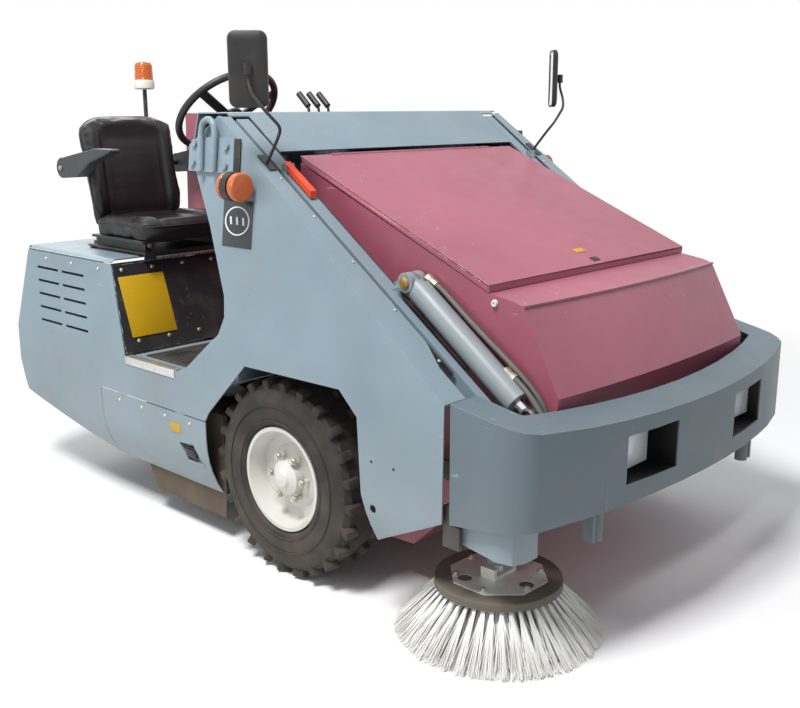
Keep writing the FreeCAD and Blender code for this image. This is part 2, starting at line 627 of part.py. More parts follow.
def tube_along(points, radius):
    """A hose: straight runs joined by tangent arcs, swept with a round section."""
    points = [V(*p) for p in points]
    edges = []
    last = points[0]
    for before, corner, after in zip(points, points[1:], points[2:]):
        a = before - corner
        b = after - corner
        turn = math.pi - a.getAngle(b)
        reach = 0.45 * min(a.Length, b.Length)
        if turn < 0.01:
            continue
        a.normalize()
        b.normalize()
        bend = reach / math.tan(turn / 2)
        first = corner + a * reach
        final = corner + b * reach
        middle_way = a + b
        middle_way.normalize()
        centre = corner + middle_way * math.hypot(bend, reach)
        mid = centre - middle_way * bend
        edges.append(Part.LineSegment(last, first).toShape())
        edges.append(Part.Arc(first, mid, final).toShape())
        last = final
    edges.append(Part.LineSegment(last, points[-1]).toShape())
    path = Part.Wire(edges)
    section = Part.Wire(Part.Circle(points[0], points[1] - points[0], radius).toShape())
    return path.makePipeShell([section], True, False)


def make_hoses():
    """Two hydraulic hoses beside each dump cylinder, from its ports to a bulkhead block."""
    routes = [
        [(-572, -462, 1034), (-572, -512, 1008), (-574, -570, 966), (-576, -660, 902), (-576, -745, 846),
         (-572, -830, 784), (-566, -893, 716), (-566, -906, 650), (-570, -908, 600)],
        [(-586, -768, 806), (-590, -812, 786), (-592, -866, 742), (-592, -912, 690), (-592, -926, 640),
         (-592, -928, 600)]]
    hoses = [tube_along(route, 8.0) for route in routes]
    add("hydraulic_hoses", [side for hose in hoses for side in both(hose)])


# ---------------------------------------------------------------- brooms and wheels
def make_side_broom():
    """Side broom: cover with its drive hub, disc, plate and bristles."""
    x, y = BROOM
    plan = [(-772, -737), (-772, -888), (-752, -928), (-714, -942), (-655, -942), (-655, -737)]
    inner = [(-766, -700), (-766, -887), (-748, -923), (-713, -936), (-661, -936), (-661, -700)]
    cover = prism_z(plan, 310, 432).cut(prism_z(inner, 300, 426))
    under = prism_x([(-700, 300), (-740, 348), (-960, 318), (-980, 318), (-980, 200), (-700, 200)],
                    -800, -600)
    bolt = rod_x(*BROOM_ARM_PIN, -779, -758, 9)
    bar = box(-768, x + 30, y - 25, y + 25, 352, 366)
    web = box(-772, -758, y - 25, y + 25, 352, 395)
    arm = fused(cover.cut(under), bolt, bar, web, rod((x, y, DISC_TOP + 42), (x, y, 366), 34))
    add("side_broom_arm", arm.cut(rod((x, y, DISC_TOP), (x, y, 300), 14 + PIN_CLEAR)))
    disc = rod((x, y, DISC_TOP - DISC_T), (x, y, DISC_TOP), DISC_R)
    add("side_broom_disc", disc.cut(rod((x, y, 100), (x, y, 240), 70)))
    corners = [(x + 150 * math.cos(math.radians(a)), y + 150 * math.sin(math.radians(a)))
               for a in range(22, 382, 45)]
    z = DISC_TOP + 0.2
    plate = prism_z(corners, z, z + 3)
    holes = [rod((x + 105 * math.cos(a), y + 105 * math.sin(a), z - 5),
                 (x + 105 * math.cos(a), y + 105 * math.sin(a), z + 5), 22)
             for a in (0.5, 2.6, 4.7)]
    yoke = [box(x - 52, x + 52, y - 26, y + 26, z, z + 14), box(x - 52, x - 40, y - 26, y + 26, z, z + 36),
            box(x + 40, x + 52, y - 26, y + 26, z, z + 36)]
    add("side_broom_plate", fused(plate.cut(holes), *yoke, rod((x, y, z), (x, y, 290), 14)))
    top = DISC_TOP - DISC_T - 0.2
    profile = [(90, top), (180, top), (255, top - 35), (BROOM_R, 4), (230, 4), (130, top - 60)]
    add("side_broom_bristles", turned(profile, (x, y, 0), "z"))


def make_front_wheels():
    """Front wheels: tyre, and a dished rim with hub, cap and nuts."""
    half = TYRE_W / 2
    r = TYRE_R
    tyre = [(RIM_R, -half + 22), (RIM_R + 14, -half + 10), (250, -half), (r - 40, -half + 2),
            (r - 12, -half + 14), (r, -half + 32), (r, half - 32), (r - 12, half - 14),
            (r - 40, half - 2), (250, half), (RIM_R + 14, half - 10), (RIM_R, half - 22)]
    centre = (-TYRE_X, 0.0, r)
    tyre_solid = turned(tyre, centre)
    add("front_tyre_right", tyre_solid)
    add("front_tyre_left", mirrored(tyre_solid))
    edge = RIM_R - 0.3
    rim = [(edge, -half + 14), (edge - 12, -half + 14), (edge - 20, -half + 36), (edge - 30, -20),
           (110, -16), (92, -28), (58, -28), (58, -62), (34, -74), (30.3, -74), (30.3, 56),
           (62, 56), (62, -14), (96, -14), (edge - 26, 0), (edge - 14, half - 30), (edge, half - 26)]
    rim_solid = turned(rim, centre)
    cap = turned([(0.01, -86), (26, -82), (34, -74.2), (34, -72), (0.01, -72)], centre)
    nuts = []
    for i in range(6):
        a = math.radians(60 * i)
        y, z = 76 * math.cos(a), r + 76 * math.sin(a)
        nuts.append(rod_x(y, z, -TYRE_X - 44, -TYRE_X - 20, 9))
    rim_solid = fused(rim_solid, cap, *nuts)
    add("front_rim_right", rim_solid)
    add("front_rim_left", mirrored(rim_solid))


# ---------------------------------------------------------------- operator's place
def make_steering():
    """Steering column and wheel."""
    x, y, z = WHEEL_HUB
    t = math.radians(COLUMN_TILT)
    axis = V(0, math.sin(t), math.cos(t))
    hub = V(x, y, z)
    column = Part.makeCylinder(24, 330, hub - axis * 372, axis)
    add("steering_column", column)
    rim_centre = hub + axis * 46
    rim = Part.makeTorus(STEER_R, 13, rim_centre, axis)
    boss = Part.makeCylinder(34, 40, hub - axis * 41, axis)
    pieces = [boss, Part.makeCylinder(30, 20, hub - axis * 5, axis)]
    for i in range(3):
        a = math.radians(90 + 120 * i)
        across = V(1, 0, 0)
        up = axis.cross(across)
        tip = rim_centre + (across * math.cos(a) + up * math.sin(a)) * (STEER_R - 6)
        start = hub + axis * 2
        pieces.append(Part.makeCylinder(9, (tip - start).Length, start, tip - start))
    add("steering_wheel", fused(rim, *pieces))


def make_levers():
    """Three hand levers through the cowl's top, and the shaft they turn on."""
    y, z = LEVER_AXIS
    for i, x in enumerate(LEVER_X):
        low = (x, y, z)
        mid = (x, 398, 1528)
        tip = (x, 448, 1572)
        lever = fused(rod(low, mid, 5), rod(mid, tip, 11), Part.makeSphere(5, V(*mid)),
                      rod_x(y, z, x - 12, x + 12, 12))
        add("control_lever_%d" % (i + 1), lever.cut(rod_x(y, z, x - 13, x + 13, 5 + PIN_CLEAR)))
    return fused(rod_x(y, z, -292, -140, 5), box(-292, -286, 340, 392, 1412, 1428))


def make_seat():
    """Seat deck with its slides, seat pan, cushions and armrests."""
    cx = SEAT_X
    deck = fused(box(cx - 200, cx + 200, 925, 1330, 976, 984), box(cx - 200, cx + 200, 920, 926, 956, 984),
                 rod_x(924, 961, cx - 150, cx + 150, 6))
    for side in (-1, 1):
        deck = fused(deck, box(cx + side * 165 - 14, cx + side * 165 + 14, 950, 1320, 984, 998),
                     box(cx + side * 180 - 12, cx + side * 180 + 12, 1312, 1330, DECK_Z + 0.4, 976),
                     box(cx + side * 180 - 12, cx + side * 180 + 12, 975, 995, DECK_Z + 0.4, 976))
    add("seat_deck", deck)
    pan = box(cx - 215, cx + 215, 905, 1270, 1020, 1030)
    for side in (-1, 1):
        pan = fused(pan, box(cx + side * 165 - 20, cx + side * 165 + 20, 940, 1290, 998.4, 1020))
    back_plate = prism_x([(1262, 1020), (1280, 1020), (1372, 1420), (1358, 1424)], cx - 90, cx + 90)
    studs = []
    for side in (-1, 1):
        studs.append(rod_x(1327, 1293, *sorted((cx + side * 80, cx + side * 268)), 9))
    add("seat_pan", fused(pan, back_plate, *studs))
    cushion = prism_x([(838, 1060), (880, 1031), (1240, 1031), (1240, 1110), (1180, 1105), (900, 1120),
                       (850, 1112)], cx - 236, cx + 236)
    add("seat_cushion", cushion)
    back = prism_x([(1246, 1040), (1262, 1050), (1354, 1440), (1366, 1500), (1330, 1516), (1290, 1490),
                    (1236, 1160), (1242, 1120)], cx - 225, cx + 225)
    back = back.cut(prism_x([(1256, 1010), (1290, 1010), (1390, 1430), (1352, 1430)], cx - 95, cx + 95))
    back = back.cut([rod_x(1327, 1293, cx - 300, cx + 300, 12)])
    add("seat_back", back)
    for name, side in (("armrest_right", -1), ("armrest_left", 1)):
        x0, x1 = sorted((cx + side * 245, cx + side * 295))
        rest = fused(rod_x(1327, 1293, x0, x1, 40),
                     prism_x([(1347, 1327), (1288, 1339), (1076, 1374), (970, 1373), (966, 1362),
                              (1120, 1318), (1212, 1261), (1330, 1254)], x0, x1))
        rest = rest.cut(rod_x(1327, 1293, x0 - 1, x1 + 1, 9 + PIN_CLEAR))
        add(name, max(rest.Solids, key=lambda s: s.Volume))


def make_lamps():
    """Turn signals on both sides and the beacon behind the seat."""
    y, z = SIGNAL
    panel_x = SIDE_X - LEAN * (z - CREASE_Z)
    x = -panel_x - SIGNAL_OUT
    stem = rod((x + 10, y, z), (-panel_x - 1.5, y, z), 11)
    band = rod((x, y - 20, z), (x, y + 12, z), SIGNAL_R)
    front = rod((x, y - 50, z), (x, y - 20.2, z), SIGNAL_R - 1)
    rear = rod((x, y + 12.2, z), (x, y + 34, z), SIGNAL_R - 1)
    add("turn_signal_bodies", both(fused(band, stem)))
    add("turn_signal_lenses", both(front) + both(rear))
    post = fused(rod((-230, 1500, DECK_Z + 0.2), (-230, 1500, 1620), 9),
                 rod((-230, 1500, DECK_Z + 0.2), (-230, 1500, DECK_Z + 12), 40),
                 rod((-230, 1500, 1600), (-230, 1500, 1640), 44))
    add("beacon_post", post)
    dome = turned([(0.01, 1640.2), (40, 1640.2), (38, 1700), (30, 1716), (0.01, 1722)], (-230, 1500, 0), "z")
    add("beacon_lens", dome)


def make_tie_downs():
    """Tie-down plates with their rings and bolts, one on each side."""
    z0 = 1318.0
    z1 = 1428.0

    def on_side(z, out):
        """X of a point that stands out from the leaning side at height z."""
        return -(SIDE_X - LEAN * (z - CREASE_Z)) - out

    plate = prism_y([(on_side(z0, 0.3), z0), (on_side(z1, 0.3), z1), (on_side(z1, 10), z1),
                     (on_side(z0, 10), z0)], 212, 452)
    plate = plate.cut(prism_x([(400, z1 + 5), (480, z1 + 5), (480, z1 - 40)], -900, -600))
    points = [(on_side(z0 + 6, 20), 372, z0 + 6), (on_side(1440, 20), 376, 1440),
              (on_side(1480, 22), 366, 1476), (on_side(1490, 22), 338, 1488),
              (on_side(1480, 22), 310, 1476), (on_side(1440, 20), 300, 1440),
              (on_side(z0 + 6, 20), 302, z0 + 6)]
    ring = tube_along(points, 11)
    pieces = both(fused(plate, ring))
    for y, z in ((418, 1408), (424, 1346), (246, 1402), (250, 1340)):
        start = V(on_side(z, 10.3), y, z)
        pieces += both(Part.makeCylinder(12, 9, start, V(-1, 0, LEAN)))
    add("tie_down_rings", pieces)


def make_mirrors():
    """Mirror arms on the slanted flanges, and the heads that turn on them."""
    base_y = 100.0
    z = slant_z(base_y)
    foot = prism_x([(base_y - 30, slant_z(base_y - 30) + 0.3), (base_y + 30, slant_z(base_y + 30) + 0.3),
                    (base_y + 30, slant_z(base_y + 30) + 6), (base_y - 30, slant_z(base_y - 30) + 6)],
                   -722, -694)
    x, y, centre_z = -812.0, 52.0, z + 288
    route = [(-708, base_y, z + 3), (-714, 40, z + 76), (-722, 10, z + 112), (-790, 14, z + 172),
             (x, 36, z + 214), (x, y, z + 250), (x, y, centre_z + 14)]
    arm = tube_along(route, 5)
    add("mirror_arms", both(fused(foot, arm)))
    head = box(x - 60, x + 60, y + 14, y + 38, centre_z - 116, centre_z + 110)
    clamp = rod((x, y, centre_z - 14), (x, y, centre_z + 16), 12)
    neck = box(x - 8, x + 8, y + 6, y + 15, centre_z - 12, centre_z + 12)
    head = fused(head, clamp, neck).cut(rod((x, y, centre_z - 130), (x, y, centre_z + 15), 5 + PIN_CLEAR))
    head = spun(head, (x, y, centre_z), (0, 0, 1), -43.0)
    add("mirror_right", head)
    add("mirror_left", mirrored(head))


def main():
    """Build every piece and write one STEP file for each."""
    make_panels()
    make_cowl()
    make_hood()
    stands = make_floor()
    make_engine()
    make_rear_wheel()
    make_main_broom()
    make_bumper()
    make_arms()
    make_hopper()
    make_cylinders()
    make_hoses()
    make_side_broom()
    make_front_wheels()
    make_steering()
    shaft = make_levers()
    make_seat()
    make_lamps()
    make_tie_downs()
    make_mirrors()
    add("chassis_frame", make_frame() + stands + [shaft])
    os.makedirs("parts", exist_ok=True)
    for name, shape in sorted(PARTS.items()):
        placed = moved(shape, 0, SHIFT_Y, 0)
        placed.exportStep("parts/%s.step" % name)
        print("%-22s solids %2d valid %s" % (name, len(placed.Solids), placed.isValid()))


if __name__ == "__main__":
    main()
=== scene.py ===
"""Looks of a ride-on sweeper, built piece by piece around its packed CAD frame.

Lengths are metres. Places are given from the front axle's ground point: x to the
machine's left, y to its rear, z up. `at()` moves them into the frame's own origin.
"""

import json
import logging
import math
import random
from dataclasses import dataclass
from enum import Enum
from typing import Iterable, Optional, Sequence, Union

import bmesh
import bpy
from mathutils import Matrix, Vector
from mathutils.bvhtree import BVHTree

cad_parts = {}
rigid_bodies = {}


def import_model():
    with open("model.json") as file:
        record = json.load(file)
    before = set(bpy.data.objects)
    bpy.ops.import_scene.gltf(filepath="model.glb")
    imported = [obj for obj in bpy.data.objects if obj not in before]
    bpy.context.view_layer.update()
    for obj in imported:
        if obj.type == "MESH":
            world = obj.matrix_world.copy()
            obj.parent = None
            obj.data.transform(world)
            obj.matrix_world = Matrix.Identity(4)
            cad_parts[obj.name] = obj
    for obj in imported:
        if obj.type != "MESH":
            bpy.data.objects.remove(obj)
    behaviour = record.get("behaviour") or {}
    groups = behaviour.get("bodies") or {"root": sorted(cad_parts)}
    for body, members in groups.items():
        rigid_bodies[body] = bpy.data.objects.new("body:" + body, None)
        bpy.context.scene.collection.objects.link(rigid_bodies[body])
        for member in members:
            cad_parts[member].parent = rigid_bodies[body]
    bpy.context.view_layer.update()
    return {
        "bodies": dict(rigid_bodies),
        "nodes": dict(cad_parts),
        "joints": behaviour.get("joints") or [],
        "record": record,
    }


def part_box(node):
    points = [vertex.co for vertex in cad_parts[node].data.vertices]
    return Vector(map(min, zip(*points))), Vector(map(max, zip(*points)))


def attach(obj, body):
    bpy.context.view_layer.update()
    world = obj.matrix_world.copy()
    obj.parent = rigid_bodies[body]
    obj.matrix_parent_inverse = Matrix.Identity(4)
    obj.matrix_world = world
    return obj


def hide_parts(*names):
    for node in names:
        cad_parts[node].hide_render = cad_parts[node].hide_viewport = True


LOG = logging.getLogger("sweeper")
Colour = tuple[float, float, float]
Point = Sequence[float]

LEAN = 0.11                 # inward lean of the sides per metre of height
SIDE_X = 0.811              # half width of the body
CREASE_Z = 0.760            # above it the front part leans inward
REAR_CREASE_Z = 0.622       # the same for the rear part
SLANT = 0.7212              # slope of the front plane
SLANT_ORIGIN = (-0.725, 0.755)  # y and z of a point of that plane
LID_SLOPE = 0.424           # slope of the hopper lid
FRONT_PANEL_SLOPE = 0.357   # run of the black front panel per metre of height
SEAT_X = -0.450             # middle of the seat and of the steering wheel
COLUMN_TILT = math.radians(43.0)


def srgb(red: int, green: int, blue: int) -> Colour:
    """Linear colour of an 8-bit display colour."""
    return tuple((c / 255) ** 2.2 for c in (red, green, blue))


# ------------------------------------------------------------------ shader maths
class Sock:
    """A node's output socket that takes part in Python arithmetic."""

    def __init__(self, shader: "Shader", socket: bpy.types.NodeSocket) -> None:
        """Keep the socket and the shader that it belongs to."""
        self.shader = shader
        self.socket = socket

    def _math(self, operation: str, first: object, second: object) -> "Sock":
        """One Math node on two values."""
        return self.shader.add("ShaderNodeMath", {"operation": operation}, (first, second))

    def __add__(self, other: object) -> "Sock":
        """Sum of two values."""
        return self._math("ADD", self, other)

    def __rsub__(self, other: object) -> "Sock":
        """What is left of a number when this value is taken from it."""
        return self._math("SUBTRACT", other, self)

    def __mul__(self, other: object) -> "Sock":
        """Product of two values."""
        return self._math("MULTIPLY", self, other)

    __radd__ = __add__
    __rmul__ = __mul__

    def at_most(self, other: object) -> "Sock":
        """The smaller of two values."""
        return self._math("MINIMUM", self, other)


class Shader:
    """One material with a Principled shader, and short ways to feed it."""

    def __init__(self, name: str) -> None:
        """Start a material with a Principled shader and object coordinates.

        Args:
            name: the material's name.
        """
        self.material = bpy.data.materials.new(name)
        self.material.use_nodes = True
        self.tree = self.material.node_tree
        self.tree.nodes.clear()
        self.output = self.tree.nodes.new("ShaderNodeOutputMaterial")
        self.main = self.tree.nodes.new("ShaderNodeBsdfPrincipled")
        self.tree.links.new(self.main.outputs[0], self.output.inputs["Surface"])
        self.place = self.add("ShaderNodeTexCoord", {}, (), "Object")

    def add(self, kind: str, settings: dict, values: Iterable, output: Union[str, int] = 0) -> Sock:
        """Add a node.

        Args:
            kind: the node's type.
            settings: its attributes, set before its inputs.
            values: inputs in order, or (name, value) pairs; None leaves one alone.
            output: name or number of the output to hand back.

        Returns:
            The chosen output.
        """
        node = self.tree.nodes.new(kind)
        for key, value in settings.items():
            setattr(node, key, value)
        for index, value in enumerate(values):
            if isinstance(value, tuple) and len(value) == 2 and isinstance(value[0], str):
                self._feed(node.inputs[value[0]], value[1])
            elif value is not None:
                self._feed(node.inputs[index], value)
        return Sock(self, node.outputs[output])

    def _feed(self, socket: bpy.types.NodeSocket, value: object) -> None:
        """Link or set one input.

        Args:
            socket: the input.
            value: a socket to link, or a number, colour or vector to set.
        """
        if isinstance(value, Sock):
            self.tree.links.new(value.socket, socket)
        elif isinstance(value, tuple) and len(value) == 3 and len(socket.default_value) == 4:
            socket.default_value = (*value, 1)
        else:
            socket.default_value = value

    def set(self, **values: object) -> "Shader":
        """Feed the Principled shader's sockets.

        Args:
            values: what each socket gets, its name written with _ for a space.

        Returns:
            The shader itself.
        """
        for key, value in values.items():
            self._feed(self.main.inputs[key.replace("_", " ")], value)
        return self

    def noise(self, scale: float, detail: float = 3, stretch: Optional[Point] = None) -> Sock:
        """Fractal noise on object coordinates, from 0 to 1.

        Args:
            scale: how many spots to a metre.
            detail: how many finer layers it has.
            stretch: factor on the coordinates along each axis, if any.

        Returns:
            The noise.
        """
        place = self.place
        if stretch:
            place = self.add("ShaderNodeMapping", {}, (self.place, None, None, tuple(stretch)))
        return self.add("ShaderNodeTexNoise", {}, (("Vector", place), ("Scale", scale), ("Detail", detail)))

    def step(self, value: Sock, low: float, high: float) -> Sock:
        """0 under low and 1 over high."""
        return self.add("ShaderNodeMapRange", {"clamp": True}, (value, low, high, 0.0, 1.0))

    def mix(self, share: object, first: object, second: object) -> Sock:
        """Colour between two colours.

        Args:
            share: 0 for the first and 1 for the second.
            first: a colour.
            second: a colour.

        Returns:
            The mixed colour.
        """
        node = self.tree.nodes.new("ShaderNodeMix")
        node.data_type = "RGBA"
        self._feed(node.inputs["Factor"], share)
        self._feed(node.inputs[6], first)
        self._feed(node.inputs[7], second)
        return Sock(self, node.outputs[2])

    def height(self) -> Sock:
        """Height above the floor."""
        return self.add("ShaderNodeSeparateXYZ", {}, (self.place,), "Z")

    def distance(self, centre: Point) -> Sock:
        """Distance from a place, in metres."""
        return self.add("ShaderNodeVectorMath", {"operation": "DISTANCE"}, (self.place, centre), "Value")

    def bump(self, value: Sock, distance: float, strength: float = 1.0) -> "Shader":
        """Raise the surface.

        Args:
            value: height, from 0 to 1.
            distance: rise of a height of 1, in metres.
            strength: how strongly it shows.

        Returns:
            The shader itself.
        """
        normal = self.add("ShaderNodeBump", {},
                          (("Strength", strength), ("Distance", distance), ("Height", value)))
        return self.set(Normal=normal)


# ------------------------------------------------------------------ finishes
@dataclass(frozen=True)
class Paint:
    """Enamel on sheet steel with dust, small scratches and an orange-peel surface."""

    name: str
    colour: Colour
    roughness: float = 0.34
    dust: float = 0.35
    wear: float = 0.0

    def make(self) -> bpy.types.Material:
        """Build the material."""
        s = Shader(self.name)
        cloud = s.noise(2.3, 5)
        shade = s.mix(s.step(cloud, 0.35, 0.7), self.colour, tuple(c * 0.82 for c in self.colour))
        low = 1 - s.step(s.height(), 0.05, 0.75)
        dusty = (low * 0.7 + s.step(s.noise(7.0, 6), 0.5, 0.8) * 0.5) * self.dust
        shade = s.mix(dusty, shade, srgb(150, 138, 120))
        scratch = s.step(s.noise(90.0, 2, (1, 0.08, 1)), 0.70, 0.74) * s.step(s.noise(3.1, 2), 0.52, 0.6)
        shade = s.mix(scratch * 0.35, shade, srgb(196, 200, 200))
        rough = self.roughness + s.noise(12.0, 4) * 0.16 + dusty * 0.5
        if self.wear:
            edge = 0.86 - self.wear * 0.4
            bare = s.step(s.noise(26.0, 6) + s.noise(150.0, 3) * 0.35, edge, edge + 0.04)
            shade = s.mix(bare, shade, srgb(176, 176, 170))
            rough = rough + bare * 0.08
            s.set(Metallic=bare * 0.7)
        s.set(Base_Color=shade, Roughness=rough.at_most(0.9))
        return s.bump(s.noise(420.0, 2) * 0.5 + s.noise(6.0, 3), 0.0006, 0.35).material


@dataclass(frozen=True)
class Metal:
    """Bare or plated metal with a fine grain and dull spots."""

    name: str
    colour: Colour
    roughness: float = 0.3
    tarnish: float = 0.3
    grain: float = 260.0
    bare: float = 0.95

    def make(self) -> bpy.types.Material:
        """Build the material."""
        s = Shader(self.name)
        spots = s.step(s.noise(38.0, 6), 0.48, 0.72) * self.tarnish
        s.set(Base_Color=s.mix(spots, self.colour, tuple(c * 0.42 for c in self.colour)), Metallic=self.bare)
        s.set(Roughness=self.roughness + spots * 0.45 + s.noise(18.0, 3) * 0.1)
        return s.bump(s.noise(self.grain, 3, (1, 1, 0.15)), 0.0003, 0.4).material


@dataclass(frozen=True)
class Rubber:
    """Rubber, vinyl or moulded plastic: a leathery or fine grain, and dust in it."""

    name: str
    colour: Colour
    roughness: float = 0.6
    dust: float = 0.25
    grain: float = 700.0
    depth: float = 0.0004
    dust_colour: Colour = srgb(140, 126, 106)

    def make(self) -> bpy.types.Material:
        """Build the material."""
        s = Shader(self.name)
        dusty = s.step(s.noise(9.0, 6), 0.42, 0.78) * self.dust
        dusty = dusty + (1 - s.step(s.height(), 0.0, 0.5)) * self.dust * 0.6
        worn = tuple(c * 1.35 + 0.002 for c in self.colour)
        shade = s.mix(s.step(s.noise(3.0, 3), 0.3, 0.7), self.colour, worn)
        s.set(Base_Color=s.mix(dusty, shade, self.dust_colour))
        s.set(Roughness=(self.roughness + dusty * 0.5 + s.noise(22.0, 4) * 0.1).at_most(0.96))
        cells = s.add("ShaderNodeTexVoronoi", {}, (("Vector", s.place), ("Scale", self.grain)), "Distance")
        return s.bump(cells, self.depth, 0.5).material


@dataclass(frozen=True)
class Lens:
    """Clear or tinted lamp plastic with moulded ribs."""

    name: str
    colour: Colour
    alpha: float = 1.0
    glow: float = 0.25
    ribs: float = 90.0

    def make(self) -> bpy.types.Material:
        """Build the material."""
        s = Shader(self.name)
        wave = s.add("ShaderNodeTexWave", {"bands_direction": "Z"},
                     (("Vector", s.place), ("Scale", self.ribs), ("Distortion", 0.0)), "Fac")
        shade = s.mix(wave * 0.35, self.colour, tuple(c * 0.55 for c in self.colour))
        s.set(Base_Color=shade, Roughness=0.12 + s.noise(30.0, 4) * 0.1, Alpha=self.alpha,
              Transmission_Weight=self.glow, IOR=1.49, Coat_Weight=0.4)
        return s.bump(wave, 0.0008, 0.5).material


@dataclass(frozen=True)
class Braid:
    """Steel-braided hose cover: two sets of crossing strands."""

    name: str = "braided_hose"
    colour: Colour = srgb(138, 136, 130)

    def make(self) -> bpy.types.Material:
        """Build the material."""
        s = Shader(self.name)
        strands = [s.add("ShaderNodeTexWave", {"bands_direction": "DIAGONAL"},
                         (("Vector", s.add("ShaderNodeMapping", {}, (s.place, None, None, stretch))),
                          ("Scale", 95.0), ("Distortion", 0.6)), "Fac")
                   for stretch in ((1.0, 1.0, 1.0), (1.0, -1.0, 1.0))]
        weave = strands[0] * strands[1]
        s.set(Base_Color=s.mix(weave, tuple(c * 0.3 for c in self.colour), self.colour), Metallic=0.45,
              Roughness=0.45 + s.noise(25.0, 3) * 0.2)
        return s.bump(weave, 0.0009, 0.8).material


@dataclass(frozen=True)
class Bristle:
    """Crimped plastic bristle, dirty towards its tip near the floor."""

    name: str
    colour: Colour

    def make(self) -> bpy.types.Material:
        """Build the material."""
        s = Shader(self.name)
        dirt = (1 - s.step(s.height(), 0.0, 0.16)) * 0.22 + s.step(s.noise(14.0, 5), 0.5, 0.8) * 0.14
        s.set(Base_Color=s.mix(dirt, self.colour, srgb(126, 112, 92)),
              Roughness=0.5 + s.noise(60.0, 3) * 0.25)
        return s.bump(s.noise(500.0, 2, (1, 1, 0.2)), 0.0005, 0.5).material


class Finish(Enum):
    """Every finish on the machine."""

    GREY = Paint("grey_blue_enamel", srgb(130, 148, 158))
    GREY_EDGE = Paint("grey_blue_worn_edge", srgb(142, 158, 166), wear=0.62)
    # Darker copy of the grey-blue body paint for the bumper: painted shade of its front face.
    BUMPER = Paint("grey_blue_bumper_painted_shade", srgb(96, 111, 119), roughness=0.42, dust=0.22)
    MAROON = Paint("maroon_enamel", srgb(158, 84, 102), roughness=0.32, dust=0.22)
    MAROON_EDGE = Paint("maroon_worn_edge", srgb(176, 108, 122), wear=0.55)
    BLACK = Paint("black_enamel", srgb(38, 38, 40), roughness=0.38, dust=0.3)
    BLACK_EDGE = Paint("black_worn_edge", srgb(52, 52, 54), wear=0.45)
    CYLINDER = Paint("cylinder_enamel", srgb(142, 150, 154), roughness=0.32)
    WHITE = Paint("white_rim_enamel", srgb(222, 222, 216), roughness=0.35, dust=0.5)
    YELLOW = Paint("yellow_plate", srgb(190, 150, 14), roughness=0.4, dust=0.12)
    BADGE_WHITE = Paint("badge_white", srgb(232, 232, 228), roughness=0.3, dust=0.05)
    # Dark grey-blue for the square behind the side badge: painted shadow of the lamp on the side sheet.
    BADGE_DARK = Paint("badge_dark", srgb(46, 54, 60), roughness=0.35, dust=0.05)
    GRIP = Rubber("orange_red_grip", srgb(206, 66, 34), roughness=0.42, dust=0.12)
    ZINC = Metal("zinc_plate", srgb(196, 192, 176), 0.32, 0.5)
    GALVANISED = Metal("galvanised_plate", srgb(222, 222, 216), 0.5, 0.2, bare=0.5)
    CHROME = Metal("hard_chrome", srgb(214, 216, 218), 0.1, 0.12)
    BRASS = Metal("brass", srgb(186, 148, 84), 0.3, 0.4)
    ALUMINIUM = Metal("aluminium_strip", srgb(206, 206, 202), 0.36, 0.25)
    MIRROR = Metal("mirror_glass", srgb(236, 238, 240), 0.03, 0.0, 20.0)
    TYRE = Rubber("tyre_rubber", srgb(30, 29, 29), roughness=0.74, dust=0.2, grain=420.0)
    RUBBER = Rubber("black_rubber", srgb(34, 33, 33), roughness=0.62)
    SKIRT = Rubber("skirt_rubber", srgb(72, 62, 52), roughness=0.8, dust=0.25)
    PLASTIC = Rubber("black_plastic", srgb(22, 22, 24), roughness=0.40, dust=0.06, grain=900.0,
                     depth=0.0002)
    TANK = Rubber("tank_plastic", srgb(150, 148, 140), roughness=0.5)
    VINYL = Rubber("seat_vinyl", srgb(17, 16, 19), roughness=0.34, dust=0.02, grain=520.0, depth=0.0004)
    VINYL_GREY = Rubber("armrest_vinyl", srgb(46, 48, 52), roughness=0.42, dust=0.06, grain=520.0,
                        depth=0.0005)
    DISC = Rubber("broom_disc_plastic", srgb(80, 76, 70), roughness=0.66, dust=0.3)
    BRISTLE = Bristle("side_broom_bristle", srgb(244, 244, 240))
    DARK_BRISTLE = Bristle("main_broom_bristle", srgb(70, 66, 60))
    BRAID = Braid()
    AMBER = Lens("amber_lens", srgb(226, 106, 8), glow=0.25, ribs=150.0)
    GLASS = Lens("lamp_glass", srgb(226, 230, 232), alpha=0.45, glow=0.6, ribs=140.0)
    REFLECTOR = Metal("lamp_reflector", srgb(226, 228, 230), 0.12, 0.05, 40.0)

    @property
    def material(self) -> bpy.types.Material:
        """The finish's material, made at its first use."""
        return bpy.data.materials.get(self.value.name) or self.value.make()


